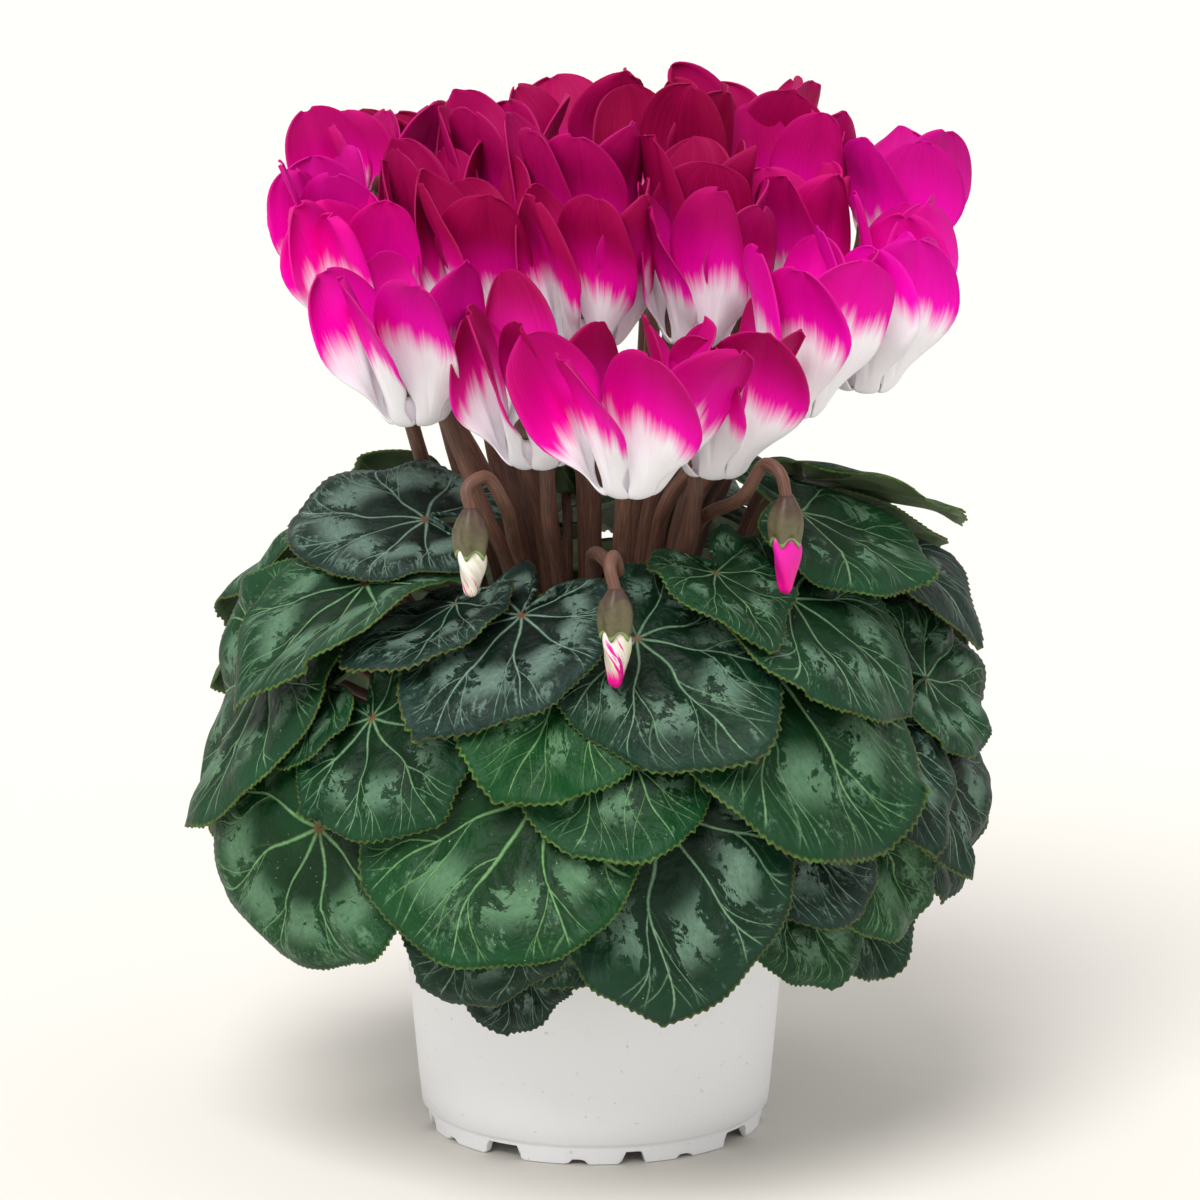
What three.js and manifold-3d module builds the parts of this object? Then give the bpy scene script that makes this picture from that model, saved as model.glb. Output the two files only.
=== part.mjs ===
// Potted cyclamen: a nursery pot with soil, a corm with its stalks, nodding two-tone flowers, hooked buds
// and bunches of marbled heart-shaped leaves. Millimetres, +Z up, the front faces -Y, the pot stands on z = 0.
import * as THREE from "three";
import { mergeVertices } from "three/addons/utils/BufferGeometryUtils.js";
import Module from "manifold-3d";

const wasm = await Module();
wasm.setup();

const rad = THREE.MathUtils.degToRad;
const vec = (x, y, z) => new THREE.Vector3(x, y, z);

// Driving dimensions
const gap = 0.3; // left between pieces that rest on each other
const pot = {
  height: 97,
  skirtRadius: 52.2,
  skirtHeight: 6,
  skirtWall: 2.6,
  baseRadius: 54.2,
  taper: 0.087,
  wall: 1.8,
  floor: 2.4,
  rimRadius: 65,
  rimHeight: 10,
  sides: 32,
};
const soilTop = 84;
const corm = { radius: 28.5, bottom: 62, shoulder: 85, top: 88, sides: 16 };
const dome = {
  centre: vec(0, 0, 115),
  side: 107,
  top: 86,
  shoulders: 9, // how much further out the top is to the left and right
  clearance: 1.2,
  touch: 1.2,
  inside: 68,
  upturn: 18,
};
const leafForm = {
  thickness: 0.9,
  petioleRadius: 2.1,
  petioleSides: 3,
  points: 17,
  innerPoints: 5,
  sinus: 174,
  sampleStep: 5,
};
const bloomForm = {
  petals: 5,
  peduncleAngle: 138, // the wider space between two petals, where the stalk passes
  lipRadius: 5.2,
  tubeRadius: 6.6,
  tubeHeight: 12,
  tubeWall: 1.2,
  thickness: 0.8,
  halfWidth: 13,
  stalkOffset: 9.8,
  stalkRadius: 2.4,
  stalkFan: 0.19, // how far out on the corm a stalk starts, as a share of its flower's distance
};

// Flowers, back to front: mouth x, y, z, the length of the petals, their flare and their turn about the axis
const blooms = [
  [-50, 72, 266, 42, 0.3, 10],
  [-4, 71, 276, 43, 0.5, 40],
  [46, 74, 274, 43, 0.6, 75],
  [-67, 44, 269, 42, 0.4, 20],
  [60, 47, 267, 44, 0.4, 5],
  [90, 40, 261, 44, 0.6, 60],
  [-28, 40, 271, 44, 0.3, 50],
  [22, 43, 275, 45, 0.4, 30],
  [-76, 13, 256, 44, 0.6, 15],
  [-47, 18, 259, 44, 0.4, 65],
  [-5, 6, 269, 44, 0.4, 25],
  [28, 6, 262, 44, 0.5, 45],
  [59, 10, 253, 44, 0.4, 10],
  [88, 6, 243, 45, 0.5, 30],
  [-68, -14, 246, 44, 0.6, 55],
  [-33, -15, 253, 44, 0.4, 35],
  [-1, -28, 250, 45, 0.5, 20],
  [30, -26, 250, 44, 0.5, 70],
  [-53, -47, 230, 44, 0.9, 20],
  [80, -25, 236, 44, 0.6, 50],
  [58, -46, 232, 46, 0.6, 25],
  [-17, -58, 219, 45, 0.8, 30],
  [35, -62, 217, 45, 0.7, 60],
  [10, -86, 216, 44, 1, 40],
];

// Buds: x, y, z of the top of the hook, the heading of the hook from the front towards +X, length of the tip
const buds = [
  [-36, -88, 219.8, 0, 15],
  [5, -101, 198.5, 10, 18],
  [55, -78, 221.5, 10, 18],
];

// Leaves: azimuth of the leaf stalk's end on the dome (from the front towards +X), its elevation, heading of
// the tip (from straight down towards the right as seen from outside), length from stalk to tip,
// turn about the vertical and pitch of the tip outwards
const frontLeaves = [
  [-60, 54, -70, 40, 12, 4],
  [-84, 38, -28, 38, 34, 0],
  [-55, 38, -17, 43, 8, 0],
  [-32, 39, -25, 28, 0, 2],
  [-15, 37, -24, 38, 0, 0],
  [27, 43, 8, 26, 0, 4],
  [43, 37, 36, 45, 0, 0],
  [60, 50, 62, 40, -8, 0],
  [104, 52, 20, 36, -30, 4],
  [92, 44, 5, 46, -34, 0],
  [74, 17, 66, 38, -10, 18],
  [94, 28, 0, 26, -30, 6],
  [32, 28, 21, 57, 0, -2],
  [8, 33, 36, 40, 0, 2],
  [5, 20, -24, 44, 0, 10],
  [9, 5, 1, 58, 0, -4],
  [29, 6, 32, 42, 0, 4],
  [46, 1, 30, 44, 0, 2],
  [56, 14, -10, 38, 0, -2],
  [66, 8, 30, 46, -12, 0],
  [84, -4, -12, 34, -25, 0],
  [34, -8, 20, 36, 0, 0],
  [48, -12, 20, 30, 0, 2],
  [-2, 29, -30, 42, 0, 0],
  [-37, 17, 48, 40, 0, 6],
  [-17, 14, -40, 33, 0, 2],
  [-60, 8, 35, 32, 0, 4],
  [-43, 0, -62, 56, 18, 4],
  [-9, 8, -62, 58, 4, 4],
  [-15, -5, -22, 44, 0, 0],
  [-2, -8, -25, 32, 0, 2],
  [-14, -18, -8, 30, 0, 0],
  [-66, 20, -34, 56, 14, -2],
  [-50, 20, -66, 32, 6, 2],
  [-88, 26, 5, 26, 26, 8],
];

// The far half follows a rule: rings of leaves at these elevations, from one azimuth to another
const backRings = [
  { elevation: 46, from: 128, to: 250, count: 5, size: 43 },
  { elevation: 27, from: 116, to: 250, count: 6, size: 47 },
  { elevation: 9, from: 108, to: 256, count: 6, size: 50 },
  { elevation: -9, from: 124, to: 238, count: 3, size: 46 },
];
const leavesPerBunch = 2;

// Seeded draws, the same on every run
let seed = 31;
function draw(low, high) {
  seed = (seed * 48271) % 2147483647;
  return low + ((high - low) * seed) / 2147483647;
}

// Solids
function solidFrom(points, triangles) {
  const mesh = new wasm.Mesh({
    numProp: 3,
    vertProperties: new Float32Array(points.flatMap((p) => [p.x, p.y, p.z])),
    triVerts: new Uint32Array(triangles.flat()),
  });
  return new wasm.Manifold(mesh);
}

function solidOf(geometry) {
  const bare = geometry.clone();
  bare.deleteAttribute("normal");
  bare.deleteAttribute("uv");
  const merged = mergeVertices(bare, 1e-4);
  const mesh = new wasm.Mesh({
    numProp: 3,
    vertProperties: merged.attributes.position.array,
    triVerts: new Uint32Array(merged.index.array),
  });
  return new wasm.Manifold(mesh);
}

function geometryOf(solid) {
  const mesh = solid.getMesh();
  const geometry = new THREE.BufferGeometry();
  geometry.setAttribute("position", new THREE.BufferAttribute(mesh.vertProperties, 3));
  geometry.setIndex(new THREE.BufferAttribute(mesh.triVerts, 1));
  geometry.computeVertexNormals();
  return geometry;
}

const unite = (solids) => solids.reduce((whole, piece) => whole.add(piece));

// A solid turned about +Z from a profile of [radius, height] pairs that starts and ends on the axis
function turned(profile, sides) {
  const points = profile.map(([r, z]) => new THREE.Vector2(r, z));
  return new THREE.LatheGeometry(points, sides).rotateX(Math.PI / 2);
}

// A stalk of one thickness with a ring of corners at each of the given points
function stalk(points, radius, sides) {
  const section = new THREE.Shape();
  for (let i = 0; i < sides; i++) {
    const angle = (i * 2 * Math.PI) / sides;
    const corner = [radius * Math.cos(angle), radius * Math.sin(angle)];
    if (i === 0) section.moveTo(...corner);
    else section.lineTo(...corner);
  }
  const extrudePath = new THREE.CatmullRomCurve3(points, false, "centripetal");
  extrudePath.getUtoTmapping = (u) => u;
  const steps = points.length - 1;
  return solidOf(new THREE.ExtrudeGeometry(section, { steps, extrudePath, bevelEnabled: false }));
}

// A thin solid from matching rows of points on its two faces
function sheet(front, back, triangles) {
  const count = front.length;
  const edges = new Map();
  for (const [a, b, c] of triangles) {
    for (const [from, to] of [[a, b], [b, c], [c, a]]) {
      if (edges.has(to + "," + from)) edges.delete(to + "," + from);
      else edges.set(from + "," + to, [from, to]);
    }
  }
  const faces = [
    ...triangles,
    ...triangles.map(([a, b, c]) => [a + count, c + count, b + count]),
  ];
  for (const [from, to] of edges.values()) {
    faces.push([to, from, from + count], [to, from + count, to + count]);
  }
  return solidFrom([...front, ...back], faces);
}

// Pot: tapered wall, floor, rolled rim and a skirt of feet with gaps and small notches
function makePot() {
  const outer = (z) => pot.baseRadius + pot.taper * (z - pot.skirtHeight);
  const rimBottom = pot.height - pot.rimHeight;
  const floorTop = pot.skirtHeight + pot.floor;
  const skirtInner = pot.skirtRadius - pot.skirtWall;
  const profile = [
    [0, pot.skirtHeight],
    [skirtInner, pot.skirtHeight],
    [skirtInner, 0],
    [pot.skirtRadius - 0.4, 0],
    [pot.skirtRadius, pot.skirtHeight],
    [pot.baseRadius, pot.skirtHeight + 0.4],
    [outer(rimBottom - 2), rimBottom - 2],
    [pot.rimRadius - 0.7, rimBottom],
    [pot.rimRadius, pot.height],
    [pot.rimRadius - 2, pot.height],
    [outer(rimBottom) - pot.wall, rimBottom + 1],
    [outer(floorTop) - pot.wall, floorTop],
    [0, floorTop],
  ];
  let body = solidOf(turned(profile, pot.sides));
  const cutters = [];
  const notch = (azimuth, width, height) => {
    const span = 2 * pot.skirtRadius * Math.sin(rad(width / 2));
    const box = new THREE.BoxGeometry(span, 12, 2 * height);
    box.translate(0, -pot.skirtRadius, 0).rotateZ(rad(azimuth));
    cutters.push(solidOf(box));
  };
  for (const quarter of [0, 90, 180, 270]) {
    notch(quarter - 33, 13, pot.skirtHeight - 0.6);
    notch(quarter - 6, 5.5, 1.6);
    notch(quarter + 13, 7, 4.2);
    notch(quarter + 32, 5, 1.2);
    const hole = new THREE.CylinderGeometry(4, 4, 12, 6).rotateX(Math.PI / 2);
    hole.translate(0, -42, pot.skirtHeight + 1).rotateZ(rad(quarter - 33));
    cutters.push(solidOf(hole));
  }
  for (const cutter of cutters) body = body.subtract(cutter);
  return body;
}

// Soil fills the pot to a little under the rim, with a plain hole where the corm sits
function makeSoil() {
  const inner = (z) => pot.baseRadius + pot.taper * (z - pot.skirtHeight) - pot.wall - gap - 0.1;
  const bottom = pot.skirtHeight + pot.floor + gap;
  const hole = corm.radius + gap + 0.3;
  const profile = [
    [0, bottom],
    [inner(bottom), bottom],
    [inner(soilTop), soilTop - 1],
    [inner(soilTop) - 6, soilTop],
    [hole, soilTop - 1.5],
    [hole, corm.bottom - gap],
    [0, corm.bottom - gap],
  ];
  return solidOf(turned(profile, pot.sides));
}

// Flowers
// The frame of a bloom: its mouth, the axis towards the swept-back petals, and the side where its stalk passes
function placeBloom([x, y, z, length, flare, turn]) {
  const mouth = vec(x, y, z);
  const reach = Math.hypot(x, y);
  const outward = reach > 12 ? vec(x / reach, y / reach, 0) : vec(0, -1, 0);
  const lean = rad(1 + (5 * reach) / 90);
  const axis = outward.clone().multiplyScalar(Math.sin(lean)).setZ(Math.cos(lean)).normalize();
  const inward = outward.clone().negate();
  inward.addScaledVector(axis, -inward.dot(axis)).normalize();
  const side = vec(0, 0, 0).crossVectors(axis, inward);
  const site = mouth.clone().addScaledVector(axis, 0.55 * length);
  return { mouth, axis, inward, side, site, length, flare, turn };
}

const placedBlooms = blooms.map(placeBloom);

// From a bloom's own radius, angle and height to the plant's frame
function inBloom(bloom, radius, angle, height) {
  return bloom.mouth
    .clone()
    .addScaledVector(bloom.inward, radius * Math.cos(angle))
    .addScaledVector(bloom.side, radius * Math.sin(angle))
    .addScaledVector(bloom.axis, height);
}

// Crowded petals press flat against a plane half-way to each neighbouring bloom
function crowd(bloom, point, share) {
  const softFrom = 0.66;
  for (let pass = 0; pass < 2; pass++) {
    for (const other of placedBlooms) {
      if (other === bloom) continue;
      const towards = other.site.clone().sub(bloom.site).setZ(0);
      const apart = towards.length();
      if (apart > 95) continue;
      towards.normalize();
      const limit = apart / 2 - 0.7;
      const reach = towards.dot(vec(point.x - bloom.site.x, point.y - bloom.site.y, 0)) / limit;
      if (reach <= softFrom) continue;
      const pressed = 1 - (1 - softFrom) * Math.exp(-(reach - softFrom) / (1 - softFrom));
      point.addScaledVector(towards, (pressed - reach) * limit * share);
    }
  }
  return point;
}

const smooth = (from, to, x) => THREE.MathUtils.smoothstep(x, from, to);

// A point of a petal: along runs from the mouth (0) to the tip (1), across from edge (-1) to edge (1)
function petalPoint(bloom, number, along, across) {
  const { length, flare, turn } = bloom;
  const { petals, peduncleAngle, lipRadius } = bloomForm;
  const variation = Math.sin(number * 2.4 + rad(turn * 3));
  const tipRadius = 14 + 9 * flare + 3 * variation;
  const points = [
    [lipRadius - 1, 1.8],
    [11.5, -5.5],
    [13 + 3 * flare, 0.4 * length],
    [tipRadius, length + 2 * variation],
  ];
  const s = 1 - along;
  const weights = [s * s * s, 3 * s * s * along, 3 * s * along * along, along * along * along];
  const steps = [s * s, 2 * s * along, along * along];
  const slopes = [-steps[0], steps[0] - steps[1], steps[1] - steps[2], steps[2]];
  const sum = (list, part) => points.reduce((total, p, i) => total + list[i] * p[part], 0);
  const radius = sum(weights, 0);
  const height = sum(weights, 1);
  const run = Math.hypot(sum(slopes, 0), sum(slopes, 1));
  const rise = sum(slopes, 1) / run;
  const widen = sum(slopes, 0) / run;
  const swirl = rad(-14) * smooth(0.1, 1, along);
  const spread = (360 - peduncleAngle) / (petals - 1);
  const angle = rad(peduncleAngle / 2 + 6 + number * spread) + swirl;
  const round = along > 0.72 ? Math.sqrt(1 - ((along - 0.72) / 0.29) ** 2) : 1;
  const widening = 0.15 + 0.12 * smooth(0, 0.3, along) + 0.73 * smooth(0.22, 0.72, along);
  const halfWidth = bloomForm.halfWidth * widening * round;
  const twist = rad(30 + 6 * variation) * smooth(0.15, 0.7, along);
  const cup = -0.22 * halfWidth * across * across * smooth(0.1, 0.6, along);
  const tangential = halfWidth * across * Math.cos(twist) - cup * Math.sin(twist);
  const outward = halfWidth * across * Math.sin(twist) + cup * Math.cos(twist);
  const place = inBloom(bloom, radius + outward * rise, angle, height - outward * widen);
  const sideways = inBloom(bloom, 1, angle + Math.PI / 2, 0).sub(bloom.mouth);
  return crowd(bloom, place.addScaledVector(sideways, tangential), smooth(0.05, 0.4, along));
}

const petalCorners = [
  [0, -1], [0, 1],
  [0.3, -1], [0.3, 1],
  [0.64, -1], [0.64, 0], [0.64, 1],
  [0.97, -1], [0.97, 1],
];
const petalTriangles = [
  [0, 1, 3], [0, 3, 2],
  [2, 3, 5], [2, 5, 4], [3, 6, 5],
  [4, 5, 7], [5, 8, 7], [5, 6, 8],
];

// A flower is a domed tube open at the mouth, with five petals that spring from its lip and sweep back
function makeBloom(bloom) {
  const { petals, lipRadius, tubeRadius, tubeHeight, tubeWall, thickness } = bloomForm;
  const tube = [
    [0, tubeHeight - 1.4 * tubeWall],
    [lipRadius - tubeWall, 0.4],
    [lipRadius, 0.4],
    [tubeRadius, 0.62 * tubeHeight],
    [0, tubeHeight],
  ];
  const solids = [onAxis(tube, 6, bloom.mouth, bloom.axis)];
  for (let number = 0; number < petals; number++) {
    const middle = petalCorners.map(([along, across]) => petalPoint(bloom, number, along, across));
    const normals = vertexNormals(middle, petalTriangles);
    const face = (offset) => middle.map((point, i) => point.clone().addScaledVector(normals[i], offset));
    solids.push(sheet(face(thickness / 2), face(-thickness / 2), petalTriangles));
  }
  return unite(solids);
}

function vertexNormals(points, triangles) {
  const normals = points.map(() => vec(0, 0, 0));
  for (const [a, b, c] of triangles) {
    const ab = points[b].clone().sub(points[a]);
    const ac = points[c].clone().sub(points[a]);
    const face = ab.cross(ac);
    for (const i of [a, b, c]) normals[i].add(face);
  }
  return normals.map((n) => n.normalize());
}

// A turned shape stood on a bloom's or bud's axis
function onAxis(profile, sides, foot, axis) {
  const geometry = turned(profile, sides);
  const upright = new THREE.Quaternion().setFromUnitVectors(vec(0, 0, 1), axis);
  geometry.applyQuaternion(upright).translate(foot.x, foot.y, foot.z);
  return solidOf(geometry);
}

// The flower stalk rises beside the mouth, hooks over between the petals and ends in the calyx on the tube
function makeBloomStalk(bloom) {
  const { stalkRadius, tubeHeight } = bloomForm;
  const calyx = [
    [0, tubeHeight + gap],
    [5.4, tubeHeight + gap],
    [2.6, tubeHeight + 5],
    [0, tubeHeight + 5],
  ];
  return [stalk(bloom.path, stalkRadius, 4), onAxis(calyx, 6, bloom.mouth, bloom.axis)];
}

// Buds: a thinner stalk hooked right over, a calyx and the furled tip hanging from it
function placeBud([x, y, z, heading, tip]) {
  const out = vec(Math.sin(rad(heading)), -Math.cos(rad(heading)), 0);
  const top = vec(x, y, z);
  const neck = top.clone().addScaledVector(out, 6.5).add(vec(0, 0, -9));
  return { top, out, neck, tip };
}

function makeBudStalk(bud) {
  const calyx = [
    [0, -10],
    [4.4, -10],
    [5.6, -5],
    [0, 1.4],
  ];
  return [stalk(bud.path, 2.1, 4), onAxis(calyx, 6, bud.neck, vec(0, 0, 1))];
}

function makeBudTip(bud) {
  const top = -10 - gap;
  const profile = [
    [0, top - bud.tip],
    [1.6, top - bud.tip + 1.6],
    [3.9, top - 0.5 * bud.tip],
    [4, top],
    [0, top],
  ];
  return onAxis(profile, 6, bud.neck, vec(0, 0, 1));
}

// The corm, half above the soil, with every flower and bud stalk grown on its top
function makeCorm() {
  const { radius, bottom, shoulder, top, sides } = corm;
  const profile = [
    [0, bottom],
    [0.62 * radius, bottom + 2],
    [radius, bottom + 12],
    [radius, shoulder],
    [radius - 1.5, top],
    [0, top],
  ];
  const solids = [solidOf(turned(profile, sides))];
  for (const bloom of placedBlooms) solids.push(...makeBloomStalk(bloom));
  for (const bud of placedBuds) solids.push(...makeBudStalk(bud));
  return unite(solids);
}

// Leaves
// Distance from the stalk to the margin of a heart-shaped blade, at an angle from the tip
function heart(angle, size) {
  const share = Math.abs(angle) / Math.PI;
  const tip = ((1 + Math.cos(angle)) / 2) ** 2.2;
  return size * (0.64 + 0.36 * tip - 0.25 * share ** 7);
}

// The blade's corners: the stalk's end, an inner ring and the toothed margin
function bladeCorners(size) {
  const { points, innerPoints, sinus } = leafForm;
  const corners = [[0, 0]];
  const ring = (count, share) => {
    for (let i = 0; i < count; i++) {
      const angle = rad(-sinus + (2 * sinus * i) / (count - 1));
      const radius = share(i) * heart(angle, size);
      corners.push([radius * Math.cos(angle), radius * Math.sin(angle)]);
    }
  };
  ring(innerPoints, () => 0.52);
  ring(points, (i) => (i % 2 ? 1.02 : 0.94));
  return corners;
}

const bladeTriangles = [];
for (let i = 0; i < leafForm.innerPoints - 1; i++) bladeTriangles.push([0, 1 + i, 2 + i]);
for (let outer = 0, inner = 0; outer < leafForm.points - 1; outer++) {
  const first = 1 + leafForm.innerPoints + outer;
  bladeTriangles.push([1 + inner, first, first + 1]);
  const due = Math.round(((outer + 1) * (leafForm.innerPoints - 1)) / (leafForm.points - 1));
  if (due > inner) bladeTriangles.push([1 + inner, first + 1, 2 + inner]);
  inner = due;
}

// The bunches of leaves bulge out lower down and draw in at the top
function domeRadius(azimuth, elevation) {
  const top = dome.top + dome.shoulders * Math.sin(rad(azimuth)) ** 2;
  return dome.side + (top - dome.side) * smooth(5, 45, elevation);
}

// Each blade is a flat plane under the dome's middle with its surface raised from it along the dome's radii
function placeLeaf([azimuth, elevation, heading, size, turn, pitch]) {
  const az = rad(azimuth);
  const el = rad(elevation);
  const out = vec(Math.cos(el) * Math.sin(az), -Math.cos(el) * Math.cos(az), Math.sin(el));
  const right = vec(Math.cos(az), Math.sin(az), 0);
  const down = vec(0, 0, 0).crossVectors(right, out);
  const tip = down.multiplyScalar(Math.cos(rad(heading))).addScaledVector(right, Math.sin(rad(heading)));
  const radius = domeRadius(azimuth, elevation);
  const bend = (0.36 * size) / radius - rad(pitch);
  const normal = out.clone().multiplyScalar(Math.cos(bend)).addScaledVector(tip, Math.sin(bend));
  tip.multiplyScalar(Math.cos(bend)).addScaledVector(out, -Math.sin(bend));
  const upturn = rad(dome.upturn * (1 - smooth(0, 60, elevation)));
  const upright = vec(0, 0, 1);
  for (const direction of [normal, tip]) {
    direction.applyAxisAngle(right, -upturn).applyAxisAngle(upright, rad(turn));
  }
  const side = vec(0, 0, 0).crossVectors(normal, tip);
  const origin = out.clone().multiplyScalar(radius);
  const leaf = { azimuth, elevation, size, out, normal, tip, side, origin };
  leaf.cup = (draw(0.7, 1) * size) / (2 * radius);
  leaf.fold = draw(-0.05, 0.16);
  leaf.wave = draw(0.5, 1.6);
  leaf.phase = draw(0, 2 * Math.PI);
  return leaf;
}

// The point of the blade's plane at distances a towards the tip and b to the side, seen from the dome's centre
function planePoint(leaf, a, b) {
  return leaf.origin.clone().addScaledVector(leaf.tip, a).addScaledVector(leaf.side, b);
}

// How far the blade's own cup, fold and waves raise it above its plane
function ownRise(leaf, a, b) {
  const { size } = leaf;
  const fromMiddle = (a - 0.3 * size) ** 2 + b * b;
  const edge = (a * a + b * b) / (0.6 * size) ** 2;
  const waves = leaf.wave * edge * Math.sin(3 * Math.atan2(b, a) + leaf.phase);
  return (-leaf.cup * fromMiddle) / size + leaf.fold * Math.abs(b) + waves;
}

function insideOutline(leaf, a, b, margin) {
  return Math.hypot(a, b) < heart(Math.atan2(b, a), leaf.size) + margin;
}

// Where a direction from the dome's centre meets the blade's plane
function meet(leaf, direction) {
  const slope = direction.dot(leaf.normal);
  if (slope < 0.15) return null;
  const hit = direction.clone().multiplyScalar(leaf.origin.dot(leaf.normal) / slope).sub(leaf.origin);
  return [hit.dot(leaf.tip), hit.dot(leaf.side)];
}

function covers(leaf, direction, margin) {
  const at = meet(leaf, direction);
  return at !== null && insideOutline(leaf, ...at, margin);
}

// How far a leaf is moved, tipped and bent outwards to lie over those beneath it
function shapes(leaf, a, b) {
  const u = a / leaf.size;
  const v = b / leaf.size;
  return [1, u, v, 0.6 * u * u, 0.6 * u * v, 0.6 * v * v];
}

function liftAt(leaf, a, b) {
  return shapes(leaf, a, b).reduce((sum, shape, i) => sum + shape * leaf.lift[i], 0);
}

function bladeRadius(leaf, a, b) {
  return planePoint(leaf, a, b).length() + ownRise(leaf, a, b) + liftAt(leaf, a, b);
}

// Where a direction from the dome's centre meets the blade's flat facets: how far out, and the facet's normal
function facetAt(leaf, direction) {
  for (const [ab, bc, ca, face, height] of leaf.facets) {
    if (ab.dot(direction) < 0 || bc.dot(direction) < 0 || ca.dot(direction) < 0) continue;
    return { radius: height / face.dot(direction), normal: face };
  }
  return null;
}

function facetsOf(shell) {
  const cross = (p, q) => vec(0, 0, 0).crossVectors(p, q);
  return bladeTriangles.map(([i, j, k]) => {
    const [a, b, c] = [shell[i], shell[j], shell[k]];
    const face = cross(b.clone().sub(a), c.clone().sub(a)).normalize();
    return [cross(a, b), cross(b, c), cross(c, a), face, face.dot(a)];
  });
}

// Lays one leaf over those before it, and lifts it a little more wherever the flat facets come too near
function layLeaf(leaf, placed) {
  const near = placed.filter((other) => other.origin.distanceTo(leaf.origin) < other.size + leaf.size + 8);
  const corners = bladeCorners(leaf.size);
  leaf.spare = dome.clearance;
  for (let attempt = 0; attempt < 12; attempt++) {
    bendLeaf(leaf, near);
    leaf.shell = corners.map(([a, b]) => planePoint(leaf, a, b).setLength(bladeRadius(leaf, a, b)));
    leaf.facets = facetsOf(leaf.shell);
    let worst = 0;
    for (const other of near) {
      for (const probe of probes(leaf)) {
        const under = facetAt(other, probe.clone().normalize());
        if (under !== null) worst = Math.max(worst, under.radius + dome.touch - probe.length());
      }
      for (const probe of probes(other)) {
        const over = facetAt(leaf, probe.clone().normalize());
        if (over !== null) worst = Math.max(worst, probe.length() + dome.touch - over.radius);
      }
    }
    if (worst === 0) break;
    leaf.spare += 0.5 * worst + 0.05;
  }
}

// Corners, middles of edges and middles of faces of a blade, about the dome's centre
function probes(leaf) {
  const list = leaf.shell.slice();
  const middle = (...points) => {
    const sum = points.reduce((total, point) => total.add(point), vec(0, 0, 0));
    list.push(sum.divideScalar(points.length));
  };
  for (const [i, j, k] of bladeTriangles) {
    const [a, b, c] = [leaf.shell[i], leaf.shell[j], leaf.shell[k]];
    middle(a, b);
    middle(b, c);
    middle(c, a);
    middle(a, b, c);
  }
  return list;
}

// Moves, tips and bends one leaf as little as will clear all those beneath it
function bendLeaf(leaf, near) {
  const step = leafForm.sampleStep;
  const touches = [];
  const stiffness = shapes(leaf, 0, 0).map((_, i, all) => all.map((_, j) => (i === j ? 0.03 : 0)));
  for (let a = -0.6 * leaf.size; a < 1.1 * leaf.size; a += step) {
    for (let b = -0.8 * leaf.size; b < 0.8 * leaf.size; b += step) {
      if (!insideOutline(leaf, a, b, 0.5 * step)) continue;
      const flat = planePoint(leaf, a, b);
      const direction = flat.clone().normalize();
      let floor = dome.inside;
      for (const other of near) {
        const at = meet(other, direction);
        if (at === null || !insideOutline(other, ...at, 3)) continue;
        floor = Math.max(floor, bladeRadius(other, ...at) + leaf.spare);
      }
      const shape = shapes(leaf, a, b);
      for (let i = 0; i < 6; i++) {
        for (let j = 0; j < 6; j++) stiffness[i][j] += 0.02 * shape[i] * shape[j];
      }
      touches.push({ need: floor - flat.length() - ownRise(leaf, a, b), shape, push: 0 });
    }
  }
  for (const touch of touches) {
    touch.give = solve(stiffness, touch.shape);
    touch.ease = touch.shape.reduce((sum, value, i) => sum + value * touch.give[i], 0);
  }
  leaf.lift = [0, 0, 0, 0, 0, 0];
  for (let sweep = 0; sweep < 90; sweep++) {
    for (const touch of touches) {
      const short = touch.need - touch.shape.reduce((sum, value, i) => sum + value * leaf.lift[i], 0);
      const change = Math.max(-touch.push, short / touch.ease);
      touch.push += change;
      leaf.lift = leaf.lift.map((value, i) => value + change * touch.give[i]);
    }
  }
}

// The nearest spot to the blade's notch where the leaf stalk can reach it without passing through another leaf
function findJoint(leaf, placed) {
  for (let radius = 0; radius < 0.7 * leaf.size; radius += 2) {
    const count = radius === 0 ? 1 : 4 + radius;
    for (let i = 0; i < count; i++) {
      const angle = (2 * Math.PI * i) / count;
      const a = 0.1 * leaf.size + radius * Math.cos(angle);
      const b = radius * Math.sin(angle);
      if (!insideOutline(leaf, a, b, -4) || Math.abs(Math.atan2(b, a)) > rad(155)) continue;
      const direction = planePoint(leaf, a, b).normalize();
      if (placed.every((other) => !covers(other, direction, 3.5))) return { a, b, direction };
    }
  }
  return null;
}

// Gauss-Jordan elimination of a small symmetric system
function solve(matrix, right) {
  const rows = matrix.map((row, i) => [...row, right[i]]);
  for (let pivot = 0; pivot < rows.length; pivot++) {
    rows[pivot] = rows[pivot].map((value) => value / rows[pivot][pivot]);
    for (let i = 0; i < rows.length; i++) {
      if (i === pivot) continue;
      const factor = rows[i][pivot];
      rows[i] = rows[i].map((value, j) => value - factor * rows[pivot][j]);
    }
  }
  return rows.map((row) => row[rows.length]);
}

function allLeaves() {
  const rows = [...frontLeaves];
  for (const ring of backRings) {
    for (let i = 0; i < ring.count; i++) {
      const azimuth = ring.from + ((ring.to - ring.from) * i) / (ring.count - 1) + draw(-4, 4);
      const size = ring.size * draw(0.9, 1.1);
      rows.push([azimuth, ring.elevation + draw(-3, 3), draw(-28, 28), size, draw(-8, 8), draw(-2, 8)]);
    }
  }
  return rows.map(placeLeaf);
}

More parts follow.
